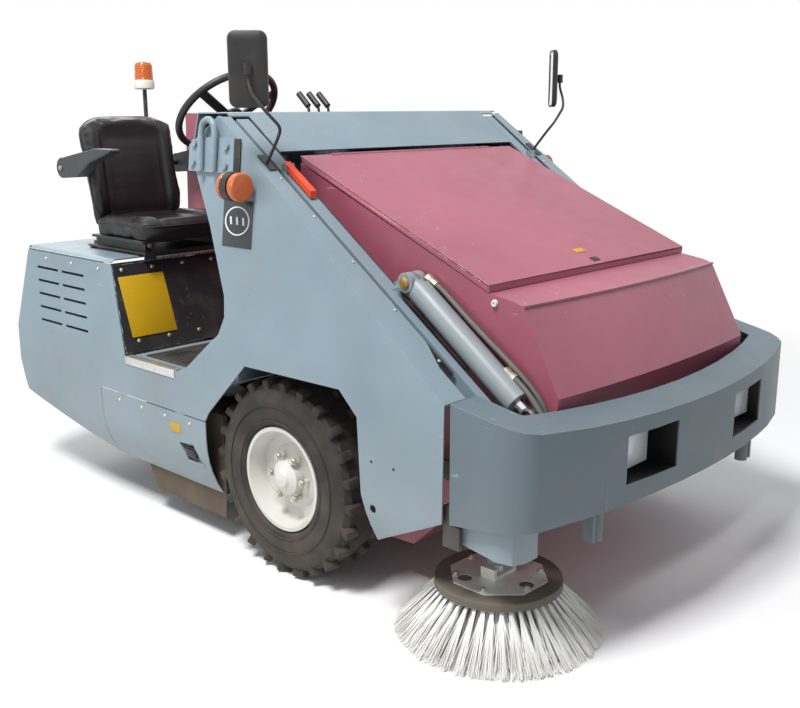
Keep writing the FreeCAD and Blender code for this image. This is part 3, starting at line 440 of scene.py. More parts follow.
# ------------------------------------------------------------------ mesh tools
class Shop:
    """Frame facts and the ways to make, finish and hand over a piece."""

    def __init__(self, frame: dict) -> None:
        """Read what each node rides on and where the front axle is.

        Args:
            frame: the loaded CAD frame.
        """
        self.nodes = frame["nodes"]
        self.slots = {s["node"]: s["material_slot"] for s in frame["record"]["subparts"]}
        self.body = {n: b for b, ns in frame["record"]["behaviour"]["bodies"].items() for n in ns}
        low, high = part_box("front_tyre_right")
        self.axle = Vector((0, (low.y + high.y) / 2, 0))
        self.count = 0

    def at(self, x: float, y: float, z: float) -> Vector:
        """A place given from the front axle's ground point, in the frame."""
        return Vector((x, y, z)) + self.axle

    def hand_over(self, obj: bpy.types.Object, body: str, slot: str, replaces: Sequence[str] = ()) -> None:
        """Put a finished piece on its body and say what it stands for.

        Args:
            obj: the piece.
            body: the body it rides on.
            slot: material slot that its finish belongs to.
            replaces: CAD nodes that it stands for.
        """
        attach(obj, body)
        if replaces:
            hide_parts(*replaces)
        self.count += 1
        LOG.info("%3d %s on %s, %d faces", self.count, obj.name, body, len(obj.data.polygons))

    def mesh_object(self, name: str, mesh: bpy.types.Mesh, *finishes: Finish) -> bpy.types.Object:
        """Link an object for a mesh with its finishes.

        Args:
            name: the object's name.
            mesh: its mesh.
            finishes: one for each material index.

        Returns:
            The object.
        """
        obj = bpy.data.objects.new(name, mesh)
        bpy.context.scene.collection.objects.link(obj)
        for finish in finishes:
            mesh.materials.append(finish.material)
        return obj

    def settle(self, obj: bpy.types.Object, angle: float = 32) -> bpy.types.Object:
        """Turn live modifiers into plain mesh.

        Args:
            obj: the piece.
            angle: edges under this many degrees are shaded smooth.

        Returns:
            The same piece.
        """
        bpy.context.view_layer.update()
        graph = bpy.context.evaluated_depsgraph_get()
        mesh = bpy.data.meshes.new_from_object(obj.evaluated_get(graph), depsgraph=graph)
        obj.modifiers.clear()
        obj.data = mesh
        mesh.shade_smooth()
        mesh.set_sharp_from_angle(angle=math.radians(angle))
        return obj

    def from_bmesh(self, name: str, bm: bmesh.types.BMesh, *finishes: Finish) -> bpy.types.Object:
        """Object from a bmesh, its faces turned outward.

        Args:
            name: the object's name.
            bm: the bmesh, which is freed.
            finishes: one for each material index.

        Returns:
            The object.
        """
        bmesh.ops.remove_doubles(bm, verts=bm.verts, dist=1e-6)
        bmesh.ops.recalc_face_normals(bm, faces=bm.faces)
        mesh = bpy.data.meshes.new(name)
        bm.to_mesh(mesh)
        bm.free()
        obj = self.mesh_object(name, mesh, *finishes)
        mesh.shade_smooth()
        mesh.set_sharp_from_angle(angle=math.radians(32))
        return obj

    def cover(self, node: str, finish: Finish, edge: Optional[Finish] = None, width: float = 0.0016,
              segments: int = 2) -> bpy.types.Object:
        """A CAD node's shape with its sharp edges rounded and worn.

        Args:
            node: the CAD node it stands for.
            finish: main finish.
            edge: finish of the rounded edges, when it differs.
            width: how far an edge is rounded.
            segments: faces across a rounded edge.

        Returns:
            The finished piece, riding on the node's body.
        """
        bm = bmesh.new()
        bm.from_mesh(self.nodes[node].data)
        bmesh.ops.remove_doubles(bm, verts=bm.verts, dist=2e-6)
        bmesh.ops.dissolve_limit(bm, angle_limit=math.radians(1), verts=bm.verts, edges=bm.edges)
        mesh = bpy.data.meshes.new(node + "_finished")
        bm.to_mesh(mesh)
        bm.free()
        obj = self.mesh_object(node + "_finished", mesh, finish, edge or finish)
        for polygon in mesh.polygons:
            polygon.material_index = 0
        bevel = obj.modifiers.new("round", "BEVEL")
        bevel.width = width
        bevel.segments = segments
        bevel.limit_method = "ANGLE"
        bevel.angle_limit = math.radians(34)
        bevel.material = 1
        bevel.use_clamp_overlap = True
        obj.modifiers.new("flat", "WEIGHTED_NORMAL").keep_sharp = True
        mesh.shade_smooth()
        self.settle(obj, 60)
        self.hand_over(obj, self.body[node], self.slots[node], [node])
        return obj

    def block(self, bm: bmesh.types.BMesh, centre: Point, size: Point, turn: Optional[Matrix] = None,
              bevel: float = 0.0, segments: int = 2) -> None:
        """Add a block with rounded edges to a bmesh.

        Args:
            bm: mesh it is added to.
            centre: its middle.
            size: its three lengths.
            turn: how it is turned, if it is.
            bevel: how far its edges are rounded.
            segments: faces across a rounded edge.
        """
        made = bmesh.ops.create_cube(bm, size=1)["verts"]
        bmesh.ops.scale(bm, vec=Vector(size), verts=made)
        if bevel:
            edges = list({e for v in made for e in v.link_edges})
            made = bmesh.ops.bevel(bm, geom=edges, offset=bevel, segments=segments, affect="EDGES",
                                   profile=0.5)["verts"]
        place = Matrix.Translation(Vector(centre)) @ (turn.to_4x4() if turn else Matrix.Identity(4))
        bmesh.ops.transform(bm, matrix=place, verts=made)

    def lathe(self, bm: bmesh.types.BMesh, profile: Sequence[tuple[float, float]], centre: Point,
              axis: Point, steps: int = 48) -> None:
        """Add a body of revolution.

        Args:
            bm: mesh it is added to.
            profile: (radius, distance along the axis) pairs.
            centre: where the distance is zero.
            axis: direction of the axis.
            steps: faces round it.
        """
        turn = Vector((0, 0, 1)).rotation_difference(Vector(axis)).to_matrix().to_4x4()
        place = Matrix.Translation(Vector(centre)) @ turn
        rings = []
        for radius, along in profile:
            if radius < 1e-5:
                rings.append([bm.verts.new(place @ Vector((0, 0, along)))])
            else:
                turns = (math.tau * i / steps for i in range(steps))
                rings.append([bm.verts.new(place @ Vector((radius * math.cos(a), radius * math.sin(a), along)))
                              for a in turns])
        closed = profile[0][0] > 1e-5 and profile[-1][0] > 1e-5
        pairs = list(zip(rings, rings[1:])) + ([(rings[-1], rings[0])] if closed else [])
        for one, two in pairs:
            for i in range(steps):
                j = (i + 1) % steps
                if len(one) == 1:
                    bm.faces.new((one[0], two[i], two[j]))
                elif len(two) == 1:
                    bm.faces.new((one[i], two[0], one[j]))
                else:
                    bm.faces.new((one[i], two[i], two[j], one[j]))

    def tube(self, name: str, points: Sequence[Point], radius: float, finish: Finish, closed: bool = False,
             order: int = 3, faces: int = 6) -> bpy.types.Object:
        """A round tube along a smooth line.

        Args:
            name: the piece's name.
            points: what the line follows.
            radius: the tube's radius.
            finish: its finish.
            closed: whether the line is a ring.
            order: order of the spline.
            faces: how finely a quarter of the section is cut.

        Returns:
            The tube as a plain mesh object.
        """
        curve = bpy.data.curves.new(name, "CURVE")
        curve.dimensions = "3D"
        curve.bevel_depth = radius
        curve.bevel_resolution = faces
        curve.use_fill_caps = not closed
        curve.resolution_u = 8
        spline = curve.splines.new("NURBS")
        spline.points.add(len(points) - 1)
        for knot, point in zip(spline.points, points):
            knot.co = (*point, 1)
        spline.order_u = order
        spline.use_endpoint_u = not closed
        spline.use_cyclic_u = closed
        holder = bpy.data.objects.new(name + "_line", curve)
        bpy.context.scene.collection.objects.link(holder)
        bpy.context.view_layer.update()
        graph = bpy.context.evaluated_depsgraph_get()
        mesh = bpy.data.meshes.new_from_object(holder.evaluated_get(graph), depsgraph=graph)
        bpy.data.objects.remove(holder)
        bm = bmesh.new()
        bm.from_mesh(mesh)
        return self.from_bmesh(name, bm, finish)


def rotation_to(axis: Point, spin: float = 0.0) -> Matrix:
    """Turn that takes +Z to an axis, after a spin about it."""
    return Vector((0, 0, 1)).rotation_difference(Vector(axis)).to_matrix() @ Matrix.Rotation(spin, 3, "Z")


# ------------------------------------------------------------------ repeats by geometry nodes
class Repeat(Enum):
    """Small shape that a tree sets on each of its points."""

    HEX_BOLT = "hex bolt"
    ROUND_HEAD = "round head"
    BRISTLE = "bristle"
    LUG = "lug"


@dataclass
class Spot:
    """One place for a repeated shape."""

    place: Vector
    axis: Vector
    size: float = 1.0


class Repeater:
    """A geometry node tree that sets one small shape on points, along their axes."""

    def __init__(self, shop: Shop) -> None:
        """Start with no trees.

        Args:
            shop: makes the objects.
        """
        self.shop = shop
        self.trees: dict[Repeat, bpy.types.GeometryNodeTree] = {}

    def _tree(self, kind: Repeat) -> bpy.types.GeometryNodeTree:
        """The kind's tree, built once, with its inputs.

        Args:
            kind: which shape it sets.

        Returns:
            The tree.
        """
        if kind in self.trees:
            return self.trees[kind]
        tree = bpy.data.node_groups.new("repeat " + kind.value, "GeometryNodeTree")
        face = tree.interface
        face.new_socket("Geometry", in_out="INPUT", socket_type="NodeSocketGeometry")
        for name in ("Radius", "Length", "Width"):
            face.new_socket(name, in_out="INPUT", socket_type="NodeSocketFloat")
        face.new_socket("Material", in_out="INPUT", socket_type="NodeSocketMaterial")
        face.new_socket("Geometry", in_out="OUTPUT", socket_type="NodeSocketGeometry")
        nodes, link = tree.nodes, tree.links.new
        given = nodes.new("NodeGroupInput")
        result = nodes.new("NodeGroupOutput")
        shape = self._shape(kind, tree, given)
        turn = nodes.new("FunctionNodeAlignRotationToVector")
        turn.axis = "Z"
        axis = nodes.new("GeometryNodeInputNamedAttribute")
        axis.data_type = "FLOAT_VECTOR"
        axis.inputs["Name"].default_value = "axis"
        size = nodes.new("GeometryNodeInputNamedAttribute")
        size.data_type = "FLOAT"
        size.inputs["Name"].default_value = "size"
        link(axis.outputs["Attribute"], turn.inputs["Vector"])
        points = nodes.new("GeometryNodeMeshToPoints")
        link(given.outputs["Geometry"], points.inputs["Mesh"])
        on_points = nodes.new("GeometryNodeInstanceOnPoints")
        link(points.outputs[0], on_points.inputs["Points"])
        link(shape, on_points.inputs["Instance"])
        link(turn.outputs[0], on_points.inputs["Rotation"])
        link(size.outputs["Attribute"], on_points.inputs["Scale"])
        real = nodes.new("GeometryNodeRealizeInstances")
        link(on_points.outputs[0], real.inputs[0])
        dress = nodes.new("GeometryNodeSetMaterial")
        link(real.outputs[0], dress.inputs["Geometry"])
        link(given.outputs["Material"], dress.inputs["Material"])
        link(dress.outputs[0], result.inputs[0])
        self.trees[kind] = tree
        return tree

    @staticmethod
    def _shape(kind: Repeat, tree: bpy.types.GeometryNodeTree, given: bpy.types.Node) -> bpy.types.NodeSocket:
        """The repeated shape's geometry, standing on the origin along +Z.

        Args:
            kind: which shape.
            tree: tree that it is built in.
            given: the tree's input node.

        Returns:
            The shape's geometry socket.
        """
        nodes, link = tree.nodes, tree.links.new

        def cylinder(sides: int, radius: bpy.types.NodeSocket, depth: bpy.types.NodeSocket,
                     taper: float, lift: float) -> bpy.types.NodeSocket:
            """A cone frustum whose radii and length follow the inputs.

            Args:
                sides: how many sides it has.
                radius: its radius at the foot.
                depth: its length.
                taper: its top radius as a share of the foot's.
                lift: how far it stands up, as a share of its length.

            Returns:
                Its geometry socket.
            """
            cone = nodes.new("GeometryNodeMeshCone")
            cone.inputs["Vertices"].default_value = sides
            small = nodes.new("ShaderNodeMath")
            small.operation = "MULTIPLY"
            link(radius, small.inputs[0])
            small.inputs[1].default_value = taper
            link(small.outputs[0], cone.inputs["Radius Top"])
            link(radius, cone.inputs["Radius Bottom"])
            link(depth, cone.inputs["Depth"])
            move = nodes.new("GeometryNodeTransform")
            link(cone.outputs["Mesh"], move.inputs["Geometry"])
            rise = nodes.new("ShaderNodeMath")
            rise.operation = "MULTIPLY"
            link(depth, rise.inputs[0])
            rise.inputs[1].default_value = lift
            offset = nodes.new("ShaderNodeCombineXYZ")
            link(rise.outputs[0], offset.inputs["Z"])
            link(offset.outputs[0], move.inputs["Translation"])
            return move.outputs[0]

        radius, length, width = (given.outputs[n] for n in ("Radius", "Length", "Width"))
        if kind is Repeat.BRISTLE:
            return cylinder(4, radius, length, 0.55, 0.0)
        if kind is Repeat.LUG:
            cube = nodes.new("GeometryNodeMeshCube")
            size = nodes.new("ShaderNodeCombineXYZ")
            for socket, name in ((radius, "X"), (width, "Y"), (length, "Z")):
                link(socket, size.inputs[name])
            link(size.outputs[0], cube.inputs["Size"])
            return cube.outputs["Mesh"]
        join = nodes.new("GeometryNodeJoinGeometry")
        if kind is Repeat.HEX_BOLT:
            link(cylinder(24, width, length, 0.96, 0.0), join.inputs[0])
            link(cylinder(6, radius, length, 0.9, 1.0), join.inputs[0])
        else:
            link(cylinder(20, radius, length, 0.82, 0.0), join.inputs[0])
            link(cylinder(20, width, length, 0.35, 0.9), join.inputs[0])
        return join.outputs[0]

    def build(self, name: str, kind: Repeat, spots: Sequence[Spot], radius: float, length: float,
              width: float, finish: Finish) -> bpy.types.Object:
        """Make one mesh with the shape at every spot.

        Args:
            name: the piece's name.
            kind: which shape.
            spots: where, along which axis and how large.
            radius: the shape's radius, or a lug's breadth.
            length: its length along the axis.
            width: a washer's radius, a dome's base radius, or a lug's width.
            finish: its finish.

        Returns:
            A plain mesh object.
        """
        mesh = bpy.data.meshes.new(name)
        mesh.from_pydata([s.place for s in spots], [], [])
        mesh.attributes.new("axis", "FLOAT_VECTOR", "POINT").data.foreach_set(
            "vector", [c for s in spots for c in s.axis])
        mesh.attributes.new("size", "FLOAT", "POINT").data.foreach_set("value", [s.size for s in spots])
        obj = self.shop.mesh_object(name, mesh)
        tree = self._tree(kind)
        modifier = obj.modifiers.new("repeat", "NODES")
        modifier.node_group = tree
        values = {"Radius": radius, "Length": length, "Width": width, "Material": finish.material}
        for item in tree.interface.items_tree:
            if item.in_out == "INPUT" and item.name in values:
                modifier[item.identifier] = values[item.name]
        return self.shop.settle(obj, 40)


# ------------------------------------------------------------------ places on the body
def side_place(shop: Shop, y: float, z: float, out: float = 0.0, rear: bool = False) -> Vector:
    """A point on the right side sheet above its crease, or out from it."""
    crease = REAR_CREASE_Z if rear else CREASE_Z
    return shop.at(-(SIDE_X - LEAN * max(0.0, z - crease)) - out, y, z)


SIDE_OUT = Vector((-1, 0, LEAN)).normalized()
SLANT_OUT = Vector((0, -SLANT, 1)).normalized()
SLANT_UP = Vector((0, 1, SLANT)).normalized()


def slant_place(shop: Shop, x: float, y: float, out: float = 0.0) -> Vector:
    """A point on the slanted front plane at x and y, or out from it."""
    low_y, low_z = SLANT_ORIGIN
    return shop.at(x, y, low_z + SLANT * (y - low_y)) + SLANT_OUT * out


def other_side(bm: bmesh.types.BMesh) -> None:
    """Add the mirror image of all that is in a bmesh.

    Args:
        bm: the mesh.
    """
    made = bmesh.ops.duplicate(bm, geom=bm.verts[:] + bm.edges[:] + bm.faces[:])["geom"]
    verts = [g for g in made if isinstance(g, bmesh.types.BMVert)]
    bmesh.ops.scale(bm, vec=(-1, 1, 1), verts=verts)


# ------------------------------------------------------------------ sub-assemblies
@dataclass
class Body:
    """Side sheets, cowl, hood, cabinet and the small parts fixed to them."""

    shop: Shop
    repeat: Repeater
    badge_r: float = 0.063
    badge_squash: float = 0.74
    badge_place: tuple[float, float] = (0.186, 1.169)
    strip_t: float = 0.003
    plate_size: tuple[float, float] = (0.20, 0.235)

    def build(self) -> None:
        """Make and dress every piece of the body."""
        grey = (Finish.GREY, Finish.GREY_EDGE)
        for node in ("side_panel_right", "side_panel_left", "side_door_right", "side_door_left", "cowl",
                     "hood_top", "rear_panel", "floor_plate"):
            self.shop.cover(node, *grey)
        self.shop.cover("chassis_frame", Finish.BLACK, Finish.BLACK_EDGE)
        self.shop.cover("engine_cabinet", Finish.MAROON, Finish.MAROON_EDGE, 0.004, 3)
        self.shop.cover("hood_front_panel", Finish.BLACK, Finish.BLACK_EDGE)
        self.shop.cover("dust_skirts", Finish.SKIRT)
        self.shop.cover("tie_down_rings", *grey, 0.0022)
        self.badge()
        self.slot_seals()
        self.panel_screws()
        self.plates()
        self.sill_strip()
        self.latches()
        self.floor_mat()

    def badge(self) -> None:
        """A plain oval badge: white ring on a dark square patch, on both sides."""
        y, z = self.badge_place
        turn = rotation_to(SIDE_OUT)
        # Dark square behind the badge: painted shadow of the lamp, not a part.
        patch = bmesh.new()
        self.shop.block(patch, side_place(self.shop, y, z - 0.01, 0.0012), (0.15, 0.15, 0.0012), turn, 0.0004)
        other_side(patch)
        painted_shadow_piece = self.shop.from_bmesh("badge_painted_shadow", patch, Finish.BADGE_DARK)
        self.shop.hand_over(painted_shadow_piece, "chassis", "paint_black")
        ring = bmesh.new()
        centre = side_place(self.shop, y, z, 0.0021)
        inner = self.badge_r * 0.90
        self.shop.lathe(ring, ((inner, 0.0), (inner, 0.0015), (self.badge_r, 0.0015), (self.badge_r, 0.0)),
                        centre, SIDE_OUT, 64)
        for reach in (-0.5, 0.0, 0.5):
            bar = centre + Vector((0, reach * self.badge_r, 0)) + SIDE_OUT * 0.0007
            self.shop.block(ring, bar, (0.0015, 0.010, 0.034), rotation_to((0, 0, 1)), 0.0004)
        bmesh.ops.scale(ring, vec=(1, 1, self.badge_squash), verts=ring.verts,
                        space=Matrix.Translation(-centre))
        other_side(ring)
        ring_piece = self.shop.from_bmesh("badge_ring", ring, Finish.BADGE_WHITE)
        self.shop.hand_over(ring_piece, "chassis", "white_rim")

    def slot_seals(self) -> None:
        """Rubber strips along both edges of each arm slot."""
        seal = bmesh.new()
        turn = Matrix((Vector((1, 0, 0)), SLANT_UP, SLANT_OUT)).transposed()
        low, high = -0.66, 0.285
        middle = (low + high) / 2
        length = (high - low) * math.hypot(1, SLANT)
        for x in (-0.6845, -0.6165):
            place = slant_place(self.shop, x, middle, -0.010)
            self.shop.block(seal, place, (0.007, length, 0.012), turn, 0.002)
        other_side(seal)
        self.shop.hand_over(self.shop.from_bmesh("slot_seals", seal, Finish.RUBBER), "chassis", "rubber")

    def panel_screws(self) -> None:
        """Screws of the black panel, the hood, the doors and the flange."""
        spots = []
        front_out = Vector((0, -0.942, 0.336))
        for x in (-0.735, -0.60, -0.46, -0.32, -0.19):
            for z in (0.665, 0.925):
                spots.append(Spot(self.front_panel_place(x, z, 0.0015), front_out))
        for y in (1.05, 1.25, 1.45):
            spots.append(Spot(side_place(self.shop, y, 0.925, 0.001, True), SIDE_OUT, 0.8))
        for y in (0.45, 0.60, 0.75, 0.90):
            spots.append(Spot(self.shop.at(-0.8118, y, 0.440), Vector((-1, 0, 0)), 0.7))
        for y in (-0.62, -0.45, -0.28, -0.11, 0.04):
            spots.append(Spot(slant_place(self.shop, -0.703, y, 0.001), SLANT_OUT, 0.7))
        flip = Vector((-1, 1, 1))
        mirrored = [Spot(s.place * flip, s.axis * flip, s.size)
                    for s in spots if abs(s.axis.x) > 0.5 or s.axis.z > 0.7]
        screws = self.repeat.build("panel_screws", Repeat.ROUND_HEAD, spots + mirrored, 0.0085, 0.0026,
                                   0.0075, Finish.ZINC)
        self.shop.hand_over(screws, "chassis", "zinc")

    def front_panel_place(self, x: float, z: float, out: float) -> Vector:
        """A point in front of the black panel under the seat, at x and z."""
        return self.shop.at(x, 0.846 + (z - 0.626) * FRONT_PANEL_SLOPE - out, z)

    def plates(self) -> None:
        """Plain yellow plates on the black panel and above the door latch."""
        plate = bmesh.new()
        tilt = Matrix.Rotation(-math.atan(FRONT_PANEL_SLOPE), 3, "X")
        width, height = self.plate_size
        place = self.front_panel_place(-0.66, 0.79, 0.003)
        self.shop.block(plate, place, (width, 0.0012, height), tilt, 0.0004)
        self.shop.block(plate, self.shop.at(-0.8118, 0.535, 0.408), (0.0012, 0.06, 0.035), None, 0.0004)
        self.shop.hand_over(self.shop.from_bmesh("yellow_plates", plate, Finish.YELLOW), "chassis", "amber")

    def sill_strip(self) -> None:
        """Aluminium tread strip over the step-in's sill and a black strip beside the ring."""
        strip = bmesh.new()
        length = 0.315
        tread = self.shop.at(-0.797, 0.682, 0.6205)
        self.shop.block(strip, tread, (0.034, length, self.strip_t), None, 0.0008)
        face = self.shop.at(-0.8128, 0.682, 0.607)
        self.shop.block(strip, face, (self.strip_t, length, 0.028), None, 0.0008)
        self.shop.hand_over(self.shop.from_bmesh("sill_strip", strip, Finish.ALUMINIUM), "chassis", "zinc")
        # Black strip beside the tie-down ring: painted shade of the ring plate's dark side, not a part.
        ring_plate_shade = bmesh.new()
        self.shop.block(ring_plate_shade, side_place(self.shop, 0.196, 1.372, 0.003), (0.11, 0.024, 0.005),
                        rotation_to(SIDE_OUT), 0.0015)
        other_side(ring_plate_shade)
        self.shop.hand_over(self.shop.from_bmesh("ring_plate_painted_shade", ring_plate_shade, Finish.RUBBER), "chassis", "rubber")

    def latches(self) -> None:
        """Paddle latches in the recesses of both side doors."""
        for side, body in ((1, "door_right"), (-1, "door_left")):
            paddle = bmesh.new()
            plate = self.shop.at(-0.7975 * side, 0.461, 0.329)
            self.shop.block(paddle, plate, (0.012, 0.060, 0.038), None, 0.003)
            lip = self.shop.at(-0.8045 * side, 0.461, 0.336)
            self.shop.block(paddle, lip, (0.010, 0.052, 0.014), None, 0.003)
            self.shop.hand_over(self.shop.from_bmesh("latch_" + body, paddle, Finish.PLASTIC), body,
                                "plastic_black")

    def floor_mat(self) -> None:
        """Ribbed rubber mat on the operator's floor."""
        mat = bmesh.new()
        self.shop.block(mat, self.shop.at(-0.46, 0.565, 0.6200), (0.58, 0.46, 0.004), None, 0.001)
        for i in range(22):
            rib = self.shop.at(-0.46, 0.355 + 0.02 * i, 0.6228)
            self.shop.block(mat, rib, (0.55, 0.008, 0.002), None, 0.0006)
        self.shop.hand_over(self.shop.from_bmesh("floor_mat", mat, Finish.RUBBER), "chassis", "rubber")


@dataclass
class FrontEnd:
    """Bumper with its lamps, lift arms, cylinders, hopper and lid."""

    shop: Shop
    repeat: Repeater
    hose_r: float = 0.0085
    collar_r: float = 0.0125

    def build(self) -> None:
        """Make and dress every piece of the front end."""
        shop = self.shop
        # The bumper's darker grey-blue is painted shade of its front face.
        shop.cover("bumper", Finish.BUMPER, Finish.GREY_EDGE, 0.003, 3)
        shop.cover("lift_arms", Finish.GREY, Finish.GREY_EDGE, 0.0025, 3)
        shop.cover("hopper_shell", Finish.MAROON, Finish.MAROON_EDGE, 0.003, 3)
        shop.cover("hopper_lid", Finish.MAROON, Finish.MAROON_EDGE, 0.005, 3)
        shop.cover("lock_handle", Finish.GRIP, Finish.GRIP, 0.006, 4)
        shop.cover("dump_barrels", Finish.CYLINDER, Finish.CYLINDER, 0.002)
        shop.cover("lift_barrels", Finish.CYLINDER, Finish.CYLINDER, 0.002)
        shop.cover("dump_rods", Finish.CHROME, Finish.CHROME, 0.001)
        shop.cover("lift_rods", Finish.CHROME, Finish.CHROME, 0.001)
        self.lid_parts()
        self.lamps()
        self.hoses()
        self.pins()

    def lid_place(self, x: float, y: float, out: float) -> Vector:
        """A point on the lid's top at x and y, or above it."""
        z = 1.370 + (y - 0.112) * LID_SLOPE
        return self.shop.at(x, y, z) + self.lid_out() * out

    @staticmethod
    def lid_out() -> Vector:
        """Outward direction of the lid's top."""
        return Vector((0, -LID_SLOPE, 1)).normalized()

    def lid_parts(self) -> None:
        """Latch buttons under the lid's corners, and the slot and small plate on its top."""
        turn = rotation_to(self.lid_out())
        button = bmesh.new()
        profile = ((0.0, 0.0), (0.011, 0.0), (0.011, 0.003), (0.009, 0.008), (0.004, 0.008), (0.004, 0.005),
                   (0.0, 0.005))
        self.shop.lathe(button, profile, self.shop.at(-0.5555, -0.700, 0.985), (-1, 0, 0), 32)
        other_side(button)
        buttons = self.shop.from_bmesh("lid_latch_buttons", button, Finish.WHITE)
        self.shop.hand_over(buttons, "hopper", "white_rim")
        slot = bmesh.new()
        self.shop.block(slot, self.lid_place(0.02, -0.655, 0.001), (0.035, 0.022, 0.003), turn, 0.001)
        self.shop.hand_over(self.shop.from_bmesh("lid_slot", slot, Finish.RUBBER), "lid", "rubber")
        plate = bmesh.new()
        self.shop.block(plate, self.lid_place(0.01, -0.600, 0.0008), (0.055, 0.022, 0.0012), turn, 0.0004)
        self.shop.hand_over(self.shop.from_bmesh("lid_plate", plate, Finish.YELLOW), "lid", "amber")

    def lamps(self) -> None:
        """Headlights: dark cans, ribbed glass over a bright bowl, one beside each window's edge."""
        self.shop.cover("headlight_housings", Finish.PLASTIC)
        glass = bmesh.new()
        bowl = bmesh.new()
        low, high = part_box("headlight_lenses")
        for side in (-1, 1):
            centre = Vector((side * 0.328, (low.y + high.y) / 2, (low.z + high.z) / 2))
            self.shop.block(glass, centre + Vector((0, -0.017, 0)), (0.138, 0.010, 0.106), None, 0.004, 3)
            self.shop.block(bowl, centre + Vector((0, 0.006, 0)), (0.128, 0.030, 0.098), None, 0.006, 3)
        panes = self.shop.from_bmesh("headlight_glass", glass, Finish.GLASS)
        self.shop.hand_over(panes, "hopper", "lamp_glass", ["headlight_lenses"])
        self.shop.hand_over(self.shop.from_bmesh("headlight_bowls", bowl, Finish.REFLECTOR), "hopper", "zinc")

    def hoses(self) -> None:
        """Braided hoses from each dump cylinder's ports, with crimped ends."""
        at = self.shop.at
        routes = (
            ((-0.572, -0.462, 1.034), (-0.572, -0.512, 1.008), (-0.574, -0.570, 0.966),
             (-0.576, -0.660, 0.902), (-0.576, -0.745, 0.846), (-0.572, -0.830, 0.784),
             (-0.566, -0.893, 0.716), (-0.566, -0.906, 0.650), (-0.570, -0.908, 0.600)),
            ((-0.586, -0.768, 0.806), (-0.590, -0.812, 0.786), (-0.592, -0.866, 0.742),
             (-0.592, -0.912, 0.690), (-0.592, -0.926, 0.640), (-0.592, -0.928, 0.600)))
        collar = ((0.0, -0.004), (self.collar_r, -0.004), (self.collar_r, 0.010), (0.0105, 0.013),
                  (0.0105, 0.038), (0.0, 0.038))
        for number, route in enumerate(routes):
            for side, word in ((1, "right"), (-1, "left")):
                points = [at(x * side, y, z) for x, y, z in route]
                hose = self.shop.tube("hose_%s_%d" % (word, number + 1), points, self.hose_r, Finish.BRAID)
                ends = bmesh.new()
                for one, two in ((points[0], points[1]), (points[-1], points[-2])):
                    way = (two - one).normalized()
                    self.shop.lathe(ends, collar, one, way, 6)
                crimp = self.shop.from_bmesh("hose_ends_%s_%d" % (word, number + 1), ends, Finish.ZINC)
                replaced = ["hydraulic_hoses"] if number == 0 and side == 1 else []
                self.shop.hand_over(hose, "dump_cylinder", "rubber", replaced)
                self.shop.hand_over(crimp, "dump_cylinder", "zinc")

    def pins(self) -> None:
        """Brass heads of the dump cylinders' upper pins."""
        pin = bmesh.new()
        for x in (-0.637, 0.637):
            out = Vector((math.copysign(1, x), 0, 0))
            self.shop.lathe(pin, ((0.0, 0.0), (0.017, 0.0), (0.017, 0.002), (0.012, 0.0035), (0.0, 0.0035)),
                            self.shop.at(x, -0.423, 1.021), out, 32)
        heads = self.shop.from_bmesh("dump_pin_heads", pin, Finish.BRASS)
        self.shop.hand_over(heads, "dump_cylinder", "zinc")


